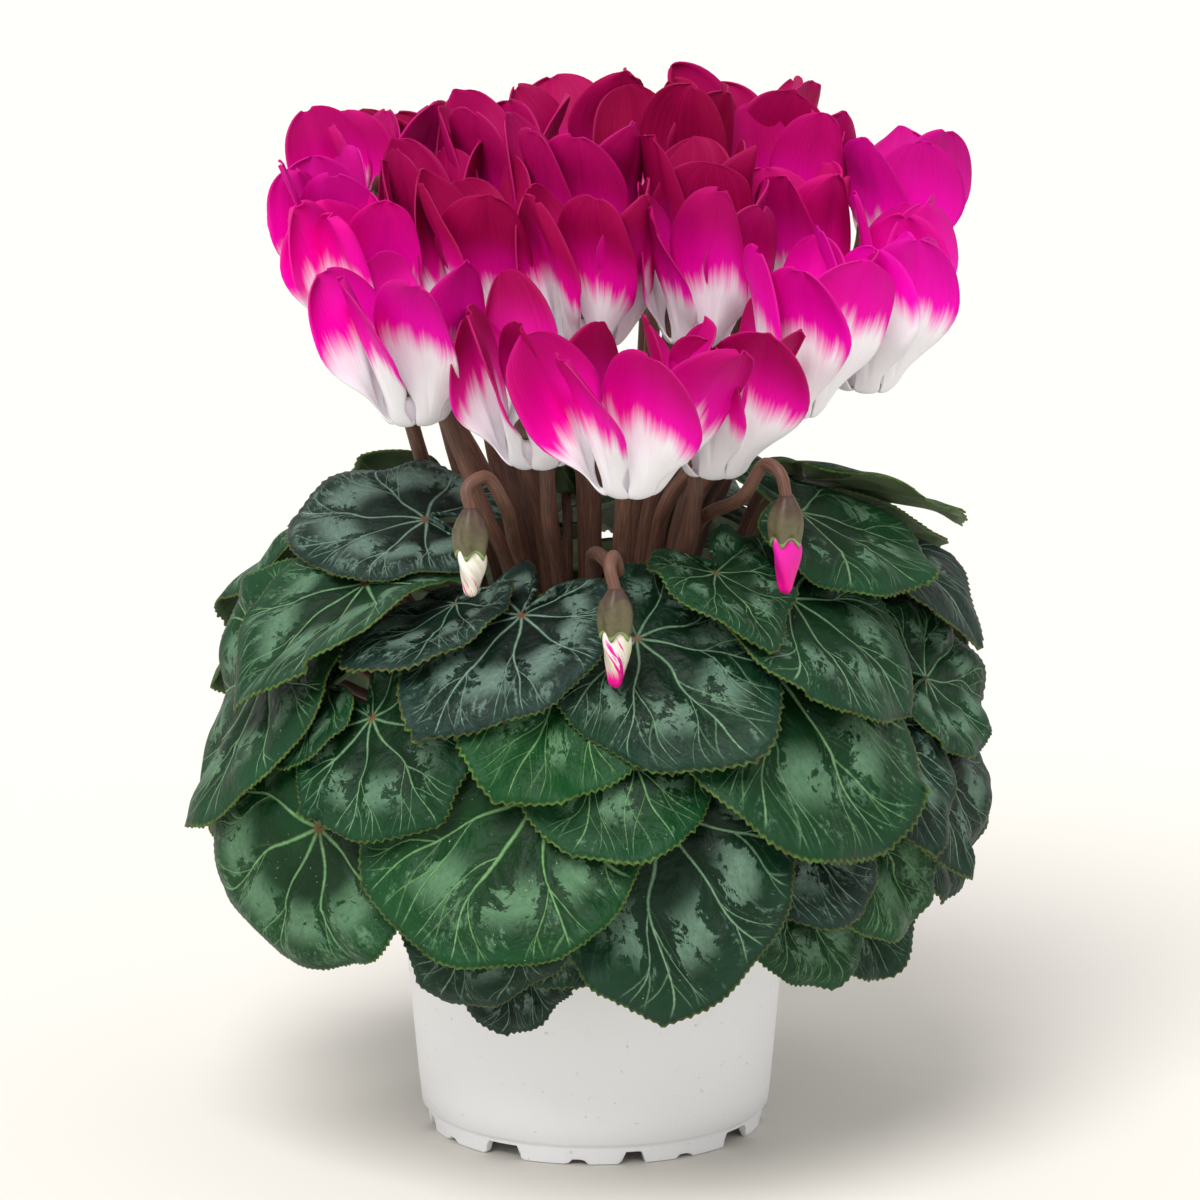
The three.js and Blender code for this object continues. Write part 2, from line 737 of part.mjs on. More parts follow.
// Lowest first, but a leaf waits while it would cover another's stalk, or at least all of its ways through
function layLeaves(leaves) {
  const waiting = [...leaves].sort((one, two) => one.elevation - two.elevation);
  const placed = [];
  while (waiting.length) {
    const leavesWay = (leaf) =>
      waiting.every((other) => {
        if (other === leaf || other.origin.distanceTo(leaf.origin) > other.size + leaf.size) return true;
        return findJoint(other, [...placed, leaf]) !== null;
      });
    let chosen = waiting.findIndex((leaf) =>
      waiting.every((other) => other === leaf || !covers(leaf, other.out, 4)),
    );
    if (chosen < 0 || !leavesWay(waiting[chosen])) chosen = waiting.findIndex(leavesWay);
    const next = waiting.splice(Math.max(chosen, 0), 1)[0];
    layLeaf(next, placed);
    next.joint = findJoint(next, placed);
    if (next.joint) placed.push(next);
  }
  return placed;
}

// The blade as a thin solid between its two faces
function makeBlade(leaf) {
  const half = leafForm.thickness / 2;
  const moved = (point, offset) => point.clone().setLength(point.length() + offset).add(dome.centre);
  const face = (offset) => leaf.shell.map((point) => moved(point, offset));
  return sheet(face(half), face(-half), bladeTriangles);
}

// The leaf stalk rises from the corm's edge in its bunch's lane, arches out under the dome and meets the blade
// square on, clear of the other blades; the second stalk of a bunch branches from the first
function makePetiole(bunch, leaf, lane) {
  const second = leaf !== bunch[0];
  const { direction } = leaf.joint;
  const start = rad(lane);
  const towards = Math.atan2(direction.x, -direction.y);
  const turnBy = Math.atan2(Math.sin(towards - start), Math.cos(towards - start));
  const out = (angle, radius, z) => vec(radius * Math.sin(angle), -radius * Math.cos(angle), z);
  const level = Math.hypot(direction.x, direction.y);
  const archHeight = Math.max(dome.centre.z + 40 * direction.z, pot.height + 9.5);
  const facet = facetAt(leaf, direction);
  const end = direction.clone().multiplyScalar(facet.radius).add(dome.centre);
  const foot = corm.top + gap;
  const low = second ? out(start, 25, foot + 3) : out(start, 25, foot);
  const rise = [low, second ? out(start, 27.5, foot + 9) : out(start, 25.3, foot + 5)];
  const others = leaves.filter((other) => !bunch.includes(other));
  for (const bow of [0.55, 0.4, 0.7, 0.25, 0.85, 1]) {
    const arch = out(start + bow * turnBy, 12 + 48 * level, archHeight);
    for (const [square, plumb] of [[6, 4], [4, 6], [2, 8], [0, 10], [9, 1], [-2, 12]]) {
      const under = end.clone().addScaledVector(facet.normal, -square).addScaledVector(direction, -plumb);
      const path = [...rise, arch, under, end];
      if (clearOf(others, path, 2.4)) return stalk(path, leafForm.petioleRadius, leafForm.petioleSides);
    }
  }
  throw new Error("a leaf stalk at azimuth " + leaf.azimuth + " has no clear way");
}

function makeBunch(bunch, lane) {
  return unite(bunch.flatMap((leaf) => [makePetiole(bunch, leaf, lane), makeBlade(leaf)]));
}

// Whether a stalk's whole way keeps clear of every blade
function clearOf(leaves, path, margin) {
  const curve = new THREE.CatmullRomCurve3(path, false, "centripetal");
  return curve.getPoints(70).every((point) => {
    const ray = point.clone().sub(dome.centre);
    const radius = ray.length();
    ray.normalize();
    return leaves.every((leaf) => {
      const at = meet(leaf, ray);
      if (at === null || !insideOutline(leaf, ...at, margin)) return true;
      return Math.abs(bladeRadius(leaf, ...at) - radius) > margin;
    });
  });
}

// A flower or bud stalk passes between the blades in a clear spot as near as can be to its straight way
function routeStalk(base, rest, leaves, taken) {
  const inside = base.clone().sub(dome.centre);
  const outside = rest[0].clone().sub(dome.centre);
  let share = 0;
  while (inside.clone().lerp(outside, share).length() < dome.top + 6 && share < 1) share += 0.02;
  const natural = inside.lerp(outside, share).normalize();
  const east = vec(0, 0, 1).cross(natural).normalize();
  const north = natural.clone().cross(east);
  for (let ring = 0; ring < 16; ring++) {
    const count = ring === 0 ? 1 : 6 + 4 * ring;
    for (let i = 0; i < count; i++) {
      const angle = ((i % 2 ? -1 : 1) * Math.ceil(i / 2) * 2 * Math.PI) / count;
      const shift = (2.5 * ring) / dome.side;
      const way = natural.clone().addScaledVector(north, shift * Math.cos(angle));
      way.addScaledVector(east, shift * Math.sin(angle)).normalize();
      if (taken.some((other) => other.distanceTo(way) * dome.side < 5.5)) continue;
      const through = (radius) => way.clone().multiplyScalar(radius).add(dome.centre);
      const path = [base, through(dome.top - 8), through(dome.top + 12), ...rest];
      if (!clearOf(leaves, path, 4.4)) continue;
      taken.push(way);
      return path;
    }
  }
  throw new Error("the stalk to " + rest[0].toArray().map(Math.round) + " has no clear way");
}

function routeAll(leaves) {
  const taken = [];
  const { stalkOffset, stalkFan } = bloomForm;
  for (const bloom of [...placedBlooms].reverse()) {
    const base = vec(bloom.mouth.x * stalkFan, bloom.mouth.y * stalkFan, corm.top - 2);
    const at = (radius, height) => inBloom(bloom, radius, 0, height);
    const hook = [at(stalkOffset, -14), at(stalkOffset, 5), at(8.2, 17), at(3.2, 20.5), at(0, 16)];
    bloom.path = routeStalk(base, hook, leaves, taken);
  }
  for (const bud of placedBuds) {
    const { top, out, neck } = bud;
    const base = vec(top.x * 0.13, top.y * 0.13, corm.top - 2);
    const inner = top.clone().addScaledVector(out, -6).add(vec(0, 0, -9));
    bud.path = routeStalk(base, [inner, top, neck, neck.clone().add(vec(0, 0, -2))], leaves, taken);
  }
}

// Materials
const finish = (color, roughness) => new THREE.MeshStandardMaterial({ color, roughness, metalness: 0 });
const whitePlastic = () => finish(0xe6e6e4, 0.4);
const darkSoil = () => finish(0x3a2b22, 0.95);
const brownStalk = () => finish(0x5a3a2e, 0.55);
const magentaPetal = () => finish(0xd2148c, 0.5);
const greenLeaf = () => finish(0x2f4f38, 0.5);

// Assembly
const plant = new THREE.Group();

function addMesh(name, solid, material) {
  const mesh = new THREE.Mesh(geometryOf(solid), material);
  mesh.name = name;
  plant.add(mesh);
}

const numbered = (name, index) => name + "_" + String(index + 1).padStart(2, "0");
const placedBuds = buds.map(placeBud);
const leaves = layLeaves(allLeaves());
routeAll(leaves);

addMesh("pot", makePot(), whitePlastic());
addMesh("soil", makeSoil(), darkSoil());
addMesh("corm_and_stalks", makeCorm(), brownStalk());
placedBlooms.forEach((bloom, i) => addMesh(numbered("flower", i), makeBloom(bloom), magentaPetal()));
placedBuds.forEach((bud, i) => addMesh(numbered("bud_tip", i), makeBudTip(bud), magentaPetal()));

const byAzimuth = [...leaves].sort((one, two) => one.azimuth - two.azimuth);
const bunches = Math.ceil(byAzimuth.length / leavesPerBunch);
for (let i = 0; i < bunches; i++) {
  const bunch = byAzimuth.slice(i * leavesPerBunch, (i + 1) * leavesPerBunch);
  const lane = byAzimuth[0].azimuth + (360 * i) / bunches;
  addMesh(numbered("leaf_bunch", i), makeBunch(bunch, lane), greenLeaf());
}

// The frame's origin is under the middle of the whole plant
const box = new THREE.Box3().setFromObject(plant);
const middle = box.getCenter(vec(0, 0, 0));
plant.position.set(-middle.x, -middle.y, 0);

export default plant;
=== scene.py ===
import math

import bmesh
import bpy
import numpy as np
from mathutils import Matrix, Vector


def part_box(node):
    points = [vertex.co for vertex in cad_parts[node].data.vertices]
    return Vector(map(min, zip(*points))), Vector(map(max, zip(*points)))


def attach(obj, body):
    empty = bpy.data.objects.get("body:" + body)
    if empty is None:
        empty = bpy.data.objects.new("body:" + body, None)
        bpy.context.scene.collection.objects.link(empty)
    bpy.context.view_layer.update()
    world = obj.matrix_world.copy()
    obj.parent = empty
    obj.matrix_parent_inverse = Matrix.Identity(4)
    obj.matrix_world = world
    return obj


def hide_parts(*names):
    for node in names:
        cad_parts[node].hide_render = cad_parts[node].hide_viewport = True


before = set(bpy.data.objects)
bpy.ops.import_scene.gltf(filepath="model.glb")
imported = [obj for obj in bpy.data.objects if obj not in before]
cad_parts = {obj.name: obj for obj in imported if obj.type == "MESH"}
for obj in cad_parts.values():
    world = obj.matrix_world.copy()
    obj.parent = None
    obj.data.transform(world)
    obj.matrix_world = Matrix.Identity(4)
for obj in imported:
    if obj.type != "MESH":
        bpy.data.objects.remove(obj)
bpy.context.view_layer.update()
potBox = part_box("pot")
potAxis = np.array([(potBox[0][0] + potBox[1][0]) / 2, (potBox[0][1] + potBox[1][1]) / 2, 0])
random = np.random.default_rng(7)


# small helpers: forms are worked out in millimetres about the pot's axis
def smooth(low, high, x):
    t = np.clip((x - low) / (high - low), 0, 1)
    return t * t * (3 - 2 * t)


def unit(v):
    return v / np.linalg.norm(v)


def toFrame(points):
    return points / 1000 + potAxis


# a point by its angle from the front, its radius and its height
def aboutAxis(angle, radius, height):
    return np.stack([radius * np.sin(angle), -radius * np.cos(angle), height], axis=-1)


# which of a number of even steps a share from 0 to 1 stands for
def stepOf(share, count):
    return np.rint(share * (count - 1)).astype(int)


def newMesh():
    mesh = bmesh.new()
    mesh.verts.layers.float_vector.new("place")
    mesh.verts.layers.float_vector.new("mark")
    return mesh


# a grid laid over a form, which gives millimetres: along runs from 0 to 1 and across from -1 to 1
# place and mark stay with the corners for the materials; weld is how close corners join, in metres
def addGrid(mesh, columns, rows, form, place=None, mark=(0, 0, 0), weld=0):
    corners = bmesh.ops.create_grid(mesh, x_segments=columns, y_segments=rows, size=1)["verts"]
    flat = np.array([corner.co[:2] for corner in corners])
    along = (flat[:, 1] + 1) / 2
    across = flat[:, 0]
    points = toFrame(form(along, across))
    places = place(along, across) if place else np.stack([along, across, 0 * along], axis=1)
    placeLayer = mesh.verts.layers.float_vector["place"]
    markLayer = mesh.verts.layers.float_vector["mark"]
    for corner, point, spot in zip(corners, points, places):
        corner.co = point
        corner[placeLayer] = Vector(spot)
        corner[markLayer] = Vector(mark)
    if weld:
        bmesh.ops.remove_doubles(mesh, verts=corners, dist=weld)


# closes open ends that have up to so many sides, or any number of them for 0
def closeEnds(mesh, sides):
    loose = [edge for edge in mesh.edges if edge.is_boundary]
    bmesh.ops.holes_fill(mesh, edges=loose, sides=sides)


# a tube of round section through the points, the same ring order at each
def addTube(mesh, path, radii, sides=10, mark=(0, 0, 0)):
    path = np.asarray(path, dtype=float)
    heading = np.gradient(path, axis=0)
    heading /= np.linalg.norm(heading, axis=1)[:, None]
    side = np.zeros_like(path)
    side[0] = unit(np.cross(heading[0], [0.13, 1, 0.21]))
    for i in range(1, len(path)):
        side[i] = unit(side[i - 1] - heading[i] * np.dot(side[i - 1], heading[i]))
    other = np.cross(heading, side)
    radii = np.broadcast_to(radii, len(path))
    length = np.concatenate([[0], np.cumsum(np.linalg.norm(np.diff(path, axis=0), axis=1))])

    def form(along, across):
        ring = stepOf(along, len(path))
        turn = np.pi * across
        out = side[ring] * np.cos(turn)[:, None] + other[ring] * np.sin(turn)[:, None]
        return path[ring] + out * radii[ring][:, None]

    def place(along, across):
        turn = np.pi * across
        return np.stack([length[stepOf(along, len(path))] / 100, np.cos(turn), np.sin(turn)], axis=1)

    addGrid(mesh, sides + 1, len(path), form, place, mark, 1e-6)
    closeEnds(mesh, sides)


# a form turned about an upright or tilted axis from radius and height along a profile
# droop is how far the points of a lobed rim hang down, at rimAt along the profile
def addTurned(mesh, foot, axis, profile, sides, lobes=0, depth=0, twist=0, mark=(0, 0, 0),
              droop=0, rimAt=0.5):
    axis = unit(np.asarray(axis, dtype=float))
    east = unit(np.cross(axis, [0.02, 1, 0.01]))
    north = np.cross(axis, east)
    profile = np.asarray(profile, dtype=float)
    steps = np.linspace(0, 1, len(profile))

    def form(along, across):
        radius = np.interp(along, steps, profile[:, 0])
        height = np.interp(along, steps, profile[:, 1])
        turn = np.pi * across
        radius = radius * (1 + depth * np.cos(lobes * turn + twist * along))
        hang = (0.5 + 0.5 * np.cos(lobes * turn)) ** 1.5 * np.exp(-((along - rimAt) / 0.13) ** 2)
        height = height - droop * hang
        flat = east * np.cos(turn)[:, None] + north * np.sin(turn)[:, None]
        return foot + flat * radius[:, None] + axis * height[:, None]

    addGrid(mesh, sides + 1, len(profile), form, None, mark, 1e-6)


def link(name, data):
    made = bpy.data.objects.new(name, data)
    bpy.context.scene.collection.objects.link(made)
    return made


def linkMesh(name, mesh, materials):
    data = bpy.data.meshes.new(name)
    mesh.to_mesh(data)
    mesh.free()
    for material in materials:
        data.materials.append(material)
    return link(name, data)


# makes a mesh into a piece that stands for a node; a sheet takes the last material on its back
def finishPiece(name, mesh, materials, node, thickness=0):
    bmesh.ops.recalc_face_normals(mesh, faces=mesh.faces)
    piece = linkMesh(name, mesh, materials)
    for face in piece.data.polygons:
        face.use_smooth = True
    if thickness:
        solid = piece.modifiers.new("thick", "SOLIDIFY")
        solid.thickness = thickness / 1000
        solid.offset = 0
        solid.material_offset = len(materials) - 1
    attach(piece, "root")
    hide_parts(node)
    return piece


# a shader socket that Python expressions can work with
class Wire:
    def __init__(self, tree, socket=None):
        self.tree = tree
        self.socket = socket

    def node(self, kind, inputs, output=0, **settings):
        made = self.tree.nodes.new(kind)
        for name, value in settings.items():
            setattr(made, name, value)
        for key, value in inputs.items():
            if isinstance(value, Wire):
                self.tree.links.new(value.socket, made.inputs[key])
            else:
                made.inputs[key].default_value = value
        return Wire(self.tree, made.outputs[output])

    def math(self, operation, *values):
        return self.node("ShaderNodeMath", dict(enumerate(values)), operation=operation)

    def __add__(self, other):
        return self.math("ADD", self, other)

    def __sub__(self, other):
        return self.math("SUBTRACT", self, other)

    def __rsub__(self, other):
        return self.math("SUBTRACT", other, self)

    def __mul__(self, other):
        return self.math("MULTIPLY", self, other)

    __radd__ = __add__
    __rmul__ = __mul__

    def __truediv__(self, other):
        return self.math("DIVIDE", self, other)

    def __abs__(self):
        return self.math("ABSOLUTE", self)

    def top(self, other):
        return self.math("MAXIMUM", self, other)

    def ramp(self, low, high):
        inputs = {"Value": self, "From Min": low, "From Max": high}
        return self.node("ShaderNodeMapRange", inputs, interpolation_type="SMOOTHSTEP")

    def band(self, low, high, soft):
        return self.ramp(low - soft, low + soft) - self.ramp(high - soft, high + soft)

    def part(self, index):
        return self.node("ShaderNodeSeparateXYZ", {0: self}, output=index)

    def parts(self, name):
        whole = self.attribute(name)
        return whole.part(0), whole.part(1), whole.part(2)

    def join(self, x, y, z):
        return self.node("ShaderNodeCombineXYZ", {0: x, 1: y, 2: z})

    def coords(self):
        return self.node("ShaderNodeTexCoord", {}, output=3)

    def noise(self, scale, detail=2, roughness=0.5, distortion=0):
        inputs = {"Vector": self, "Scale": scale, "Detail": detail}
        inputs.update({"Roughness": roughness, "Distortion": distortion})
        return self.node("ShaderNodeTexNoise", inputs)

    def attribute(self, name):
        return self.node("ShaderNodeAttribute", {}, output=1, attribute_name=name)

    # mixes two wires or colours, a colour being red, green and blue up to 255
    def blend(self, *sides):
        first, second = [side if isinstance(side, Wire) else tint(*side) for side in sides]
        return self.node("ShaderNodeMix", {0: self, 6: first, 7: second}, output=2, data_type="RGBA")

    def bump(self, distance, strength):
        return self.node("ShaderNodeBump", {"Height": self, "Distance": distance, "Strength": strength})


def newMaterial(name, **constants):
    made = bpy.data.materials.new(name)
    made.use_nodes = True
    shader = made.node_tree.nodes["Principled BSDF"]
    for socket, value in constants.items():
        shader.inputs[socket.replace("_", " ")].default_value = value
    return made, Wire(made.node_tree), shader


def feed(shader, name, wire):
    wire.tree.links.new(wire.socket, shader.inputs[name])


def tint(red, green, blue):
    return tuple((channel / 255) ** 2.2 for channel in (red, green, blue)) + (1,)


# the plant's plan, with the same places as the solids
# flowers: x, y, z of the mouth, length, flare, turn
bloomRows = [
    [-50, 72, 266, 42, 0.3, 10], [-4, 71, 276, 43, 0.5, 40], [46, 74, 274, 43, 0.6, 75],
    [-67, 44, 269, 42, 0.4, 20], [60, 47, 267, 44, 0.4, 5], [90, 40, 261, 44, 0.6, 60],
    [-28, 40, 271, 44, 0.3, 50], [22, 43, 275, 45, 0.4, 30], [-76, 13, 256, 44, 0.6, 15],
    [-47, 18, 259, 44, 0.4, 65], [-5, 6, 269, 44, 0.4, 25], [28, 6, 262, 44, 0.5, 45],
    [59, 10, 253, 44, 0.4, 10], [88, 6, 243, 45, 0.5, 30], [-68, -14, 246, 44, 0.6, 55],
    [-33, -15, 253, 44, 0.4, 35], [-1, -28, 250, 45, 0.5, 20], [30, -26, 250, 44, 0.5, 70],
    [-53, -47, 230, 44, 0.9, 20], [80, -25, 236, 44, 0.6, 50], [58, -46, 232, 46, 0.6, 25],
    [-17, -58, 219, 45, 0.8, 30], [35, -62, 217, 45, 0.7, 60], [10, -86, 216, 44, 1, 40],
]
# buds: x, y, z of the hook's top, heading, length of the furled tip
budRows = [[-36, -88, 219.8, 0, 15], [5, -101, 198.5, 10, 18], [55, -78, 221.5, 10, 18]]
# leaves: azimuth, elevation, heading, size, turn, pitch
leafRows = [
    [-60, 54, -70, 40, 12, 4], [-84, 38, -28, 38, 34, 0], [-55, 38, -17, 43, 8, 0],
    [-32, 39, -25, 28, 0, 2], [-15, 37, -24, 38, 0, 0], [27, 43, 8, 26, 0, 4],
    [43, 37, 36, 45, 0, 0], [60, 50, 62, 40, -8, 0], [104, 52, 20, 36, -30, 4],
    [92, 44, 5, 46, -34, 0], [74, 17, 66, 38, -10, 18], [94, 28, 0, 26, -30, 6],
    [32, 28, 21, 57, 0, -2], [8, 33, 36, 40, 0, 2], [5, 20, -24, 44, 0, 10],
    [9, 5, 1, 58, 0, -4], [29, 6, 32, 42, 0, 4], [46, 1, 30, 44, 0, 2],
    [56, 14, -10, 38, 0, -2], [66, 8, 30, 46, -12, 0], [84, -4, -12, 34, -25, 0],
    [34, -8, 20, 36, 0, 0], [48, -12, 20, 30, 0, 2], [-2, 29, -30, 42, 0, 0],
    [-37, 17, 48, 40, 0, 6], [-17, 14, -40, 33, 0, 2], [-60, 8, 35, 32, 0, 4],
    [-43, 0, -62, 56, 18, 4], [-9, 8, -62, 58, 4, 4], [-15, -5, -22, 44, 0, 0],
    [-2, -8, -25, 32, 0, 2], [-14, -18, -8, 30, 0, 0], [-66, 20, -34, 56, 14, -2],
    [-50, 20, -66, 32, 6, 2], [-88, 26, 5, 26, 26, 8],
]
# rings of leaves at the back: elevation, first and last azimuth, count, size
backRings = [[46, 128, 250, 5, 43], [27, 116, 250, 6, 47], [9, 108, 256, 6, 50], [-9, 124, 238, 3, 46]]
# the leaves lie on a dome, and a ray from its centre meets a leaf's plane if it isn't too flat to it
leastSlope = 0.15
# raised lifts the base of the topmost leaves at the back
dome = {"centre": np.array([0, 0, 115.0]), "side": 107, "top": 86, "shoulders": 9, "upturn": 18,
        "raised": 11, "raisedAbove": 38, "raisedFrom": 140, "raisedTo": 235}
corm = {"radius": 28.5, "bottom": 62, "top": 88}


class Draws:
    def __init__(self, seed):
        self.seed = seed

    def between(self, low, high):
        self.seed = (self.seed * 48271) % 2147483647
        return low + (high - low) * self.seed / 2147483647


def turnAbout(v, axis, angle):
    across = np.cross(axis, v) * math.sin(angle)
    return v * math.cos(angle) + across + axis * np.dot(axis, v) * (1 - math.cos(angle))


def placeLeaf(row, draws):
    azimuth, elevation, heading, size, turn, pitch = row
    az, el, hd = np.radians([azimuth, elevation, heading])
    out = aboutAxis(az, math.cos(el), math.sin(el))
    right = np.array([math.cos(az), math.sin(az), 0])
    tip = np.cross(right, out) * math.cos(hd) + right * math.sin(hd)
    top = dome["top"] + dome["shoulders"] * math.sin(az) ** 2
    radius = dome["side"] + (top - dome["side"]) * float(smooth(5, 45, elevation))
    bend = 0.36 * size / radius - math.radians(pitch)
    normal = out * math.cos(bend) + tip * math.sin(bend)
    tip = tip * math.cos(bend) - out * math.sin(bend)
    upturn = math.radians(dome["upturn"] * (1 - float(smooth(0, 60, elevation))))
    upright = np.array([0, 0, 1.0])
    normal, tip = [turnAbout(turnAbout(v, right, -upturn), upright, math.radians(turn))
                   for v in (normal, tip)]
    leaf = {"azimuth": azimuth, "elevation": elevation, "size": size, "normal": normal, "tip": tip,
            "side": np.cross(normal, tip), "origin": out * radius}
    atBack = dome["raisedFrom"] < azimuth < dome["raisedTo"]
    leaf["raised"] = dome["raised"] if atBack and elevation > dome["raisedAbove"] else 0
    leaf["cup"] = draws.between(0.7, 1) * size / (2 * radius)
    leaf["fold"] = draws.between(-0.05, 0.16)
    leaf["wave"] = draws.between(0.5, 1.6)
    leaf["phase"] = draws.between(0, 2 * math.pi)
    return leaf


def allLeaves():
    draws = Draws(31)
    rows = [list(row) for row in leafRows]
    for elevation, start, end, count, length in backRings:
        for i in range(count):
            azimuth = start + (end - start) * i / (count - 1) + draws.between(-4, 4)
            size = length * draws.between(0.9, 1.1)
            tilt = elevation + draws.between(-3, 3)
            heading = draws.between(-28, 28)
            turn = draws.between(-8, 8)
            rows.append([azimuth, tilt, heading, size, turn, draws.between(-2, 8)])
    return [placeLeaf(row, draws) for row in rows]


def heart(angle, size):
    tip = ((1 + np.cos(angle)) / 2) ** 2.2
    return size * (0.64 + 0.36 * tip - 0.25 * (np.abs(angle) / np.pi) ** 7)


def ownRise(leaf, a, b):
    size = leaf["size"]
    edge = (a * a + b * b) / (0.6 * size) ** 2
    waves = leaf["wave"] * edge * np.sin(3 * np.arctan2(b, a) + leaf["phase"])
    return -leaf["cup"] * ((a - 0.3 * size) ** 2 + b * b) / size + leaf["fold"] * np.abs(b) + waves


def liftShapes(leaf, a, b):
    u = a / leaf["size"]
    v = b / leaf["size"]
    return np.stack([1 + 0 * u, u, v, 0.6 * u * u, 0.6 * u * v, 0.6 * v * v], axis=-1)


def planePoint(leaf, a, b):
    a, b = [np.asarray(part, dtype=float)[..., None] for part in (a, b)]
    return leaf["origin"] + leaf["tip"] * a + leaf["side"] * b


def bladePoint(leaf, a, b, extra=0):
    flat = planePoint(leaf, a, b)
    away = np.linalg.norm(flat, axis=-1)
    radius = away + ownRise(leaf, a, b) + liftShapes(leaf, a, b) @ leaf["lift"] + extra
    return dome["centre"] + flat * (radius / away)[..., None]


# the blade of each solid leaf tells how far that leaf was lifted clear of those beneath it
def readLift(leaf, node):
    corners = np.array([corner.co[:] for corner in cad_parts[node].data.vertices])
    away = (corners - potAxis) * 1000 - dome["centre"]
    radius = np.linalg.norm(away, axis=1)
    away /= radius[:, None]
    size = leaf["size"]
    rings = [(0.0, 0.0)]
    for count, low, high in ((5, 0.52, 0.52), (17, 0.94, 1.02)):
        angle = np.radians(np.linspace(-174, 174, count))
        reach = np.where(np.arange(count) % 2, high, low) * heart(angle, size)
        rings += list(zip(reach * np.cos(angle), reach * np.sin(angle)))
    a, b = np.array(rings).T
    flat = planePoint(leaf, a, b)
    reach = np.linalg.norm(flat, axis=1)
    near = away @ (flat / reach[:, None]).T > 1 - 2e-10
    found = near.sum(axis=0) >= 2
    mean = np.array([np.ptp(radius[near[:, i]]) / 2 + radius[near[:, i]].min() if found[i] else 0
                     for i in range(len(a))])
    lift = (mean - reach - ownRise(leaf, a, b))[found]
    shapes = liftShapes(leaf, a, b)[found]
    leaf["lift"] = np.linalg.lstsq(shapes, lift, rcond=None)[0]
    error = np.abs(shapes @ leaf["lift"] - lift).max()
    # the leaf stalk's end breaks the back of the blade away from its corners
    spare = ~near.any(axis=1)
    slope = away @ leaf["normal"]
    flatReach = np.where(slope > leastSlope, np.dot(leaf["origin"], leaf["normal"]) / slope, 0)
    hit = away * flatReach[:, None] - leaf["origin"]
    p = hit @ leaf["tip"]
    q = hit @ leaf["side"]
    inside = np.hypot(p, q) < heart(np.arctan2(q, p), size)
    back = np.abs(flatReach + ownRise(leaf, p, q) + liftShapes(leaf, p, q) @ leaf["lift"] - radius - 0.45)
    spare &= inside & (slope > leastSlope) & (back < 0.7)
    leaf["joint"] = (0.1 * size, 0.0)
    if spare.any():
        first = np.argmin(np.hypot(p - 0.1 * size, q) + 1e6 * ~spare)
        group = spare & (np.hypot(p - p[first], q - q[first]) < 5)
        leaf["joint"] = (float(p[group].mean()), float(q[group].mean()))
    return error


leaves = sorted(allLeaves(), key=lambda leaf: (leaf["azimuth"], leaf["elevation"]))
bunchCount = math.ceil(len(leaves) / 2)
worst = 0
for i, leaf in enumerate(leaves):
    leaf["bunch"] = i // 2
    worst = max(worst, readLift(leaf, "leaf_bunch_%02d" % (leaf["bunch"] + 1)))
print("leaves placed:", len(leaves), "largest misfit mm: %.4f" % worst)

leafTable = {key: np.array([leaf[key] for leaf in leaves]) for key in
             ("size", "cup", "fold", "wave", "phase", "normal", "tip", "side", "origin", "lift")}


# a smooth line through points, spaced as a stalk bends: centripetal, as in the solids
def bowedLine(points, count):
    points = np.asarray(points, dtype=float)
    ends = np.vstack([2 * points[0] - points[1], points, 2 * points[-1] - points[-2]])
    spots = []
    for t in np.linspace(0, 1, count + 1):
        place = min(t * (len(points) - 1), len(points) - 1 - 1e-9)
        i = int(place)
        w = place - i
        p0, p1, p2, p3 = ends[i:i + 4]
        d0, d1, d2 = [max(np.linalg.norm(q - p) ** 0.5, 1e-4) for p, q in ((p0, p1), (p1, p2), (p2, p3))]
        t1 = ((p1 - p0) / d0 - (p2 - p0) / (d0 + d1) + (p2 - p1) / d1) * d1
        t2 = ((p2 - p1) / d1 - (p3 - p1) / (d1 + d2) + (p3 - p2) / d2) * d1
        c2 = -3 * p1 + 3 * p2 - 2 * t1 - t2
        c3 = 2 * p1 - 2 * p2 + t1 + t2
        spots.append(p1 + t1 * w + c2 * w * w + c3 * w ** 3)
    return np.array(spots)


# rays from the dome's centre through points, against each blade: whether a ray meets its plane squarely,
# how far beyond its outline, and how far out the blade lies from the point
def meetBlades(points, table):
    away = points - dome["centre"]
    radius = np.linalg.norm(away, axis=1)
    away /= radius[:, None]
    slope = away @ table["normal"].T
    flat = (table["origin"] * table["normal"]).sum(axis=1) / np.where(slope < leastSlope, 1, slope)
    hit = away[:, None, :] * flat[..., None] - table["origin"]
    a = (hit * table["tip"]).sum(axis=2)
    b = (hit * table["side"]).sum(axis=2)
    beyond = np.hypot(a, b) - heart(np.arctan2(b, a), table["size"])
    rise = ownRise(table, a, b) + (liftShapes(table, a, b) * table["lift"]).sum(axis=2)
    return slope >= leastSlope, beyond, flat + rise - radius[:, None]


# whether a stalk along the path keeps the margin from every blade but those to skip
def clearOf(path, margin, skip=()):
    squarely, beyond, gap = meetBlades(bowedLine(path, 70), leafTable)
    close = squarely & (beyond < margin) & (np.abs(gap) <= margin)
    close[:, list(skip)] = False
    return not close.any()


# margin is from the blades, apart from other stalks, and tried spots lie on rings of ringStep
stalks = {"radius": 2.3, "budRadius": 2.05, "sides": 12, "steps": 56, "margin": 4.4, "apart": 5.5,
          "ringStep": 2.5}


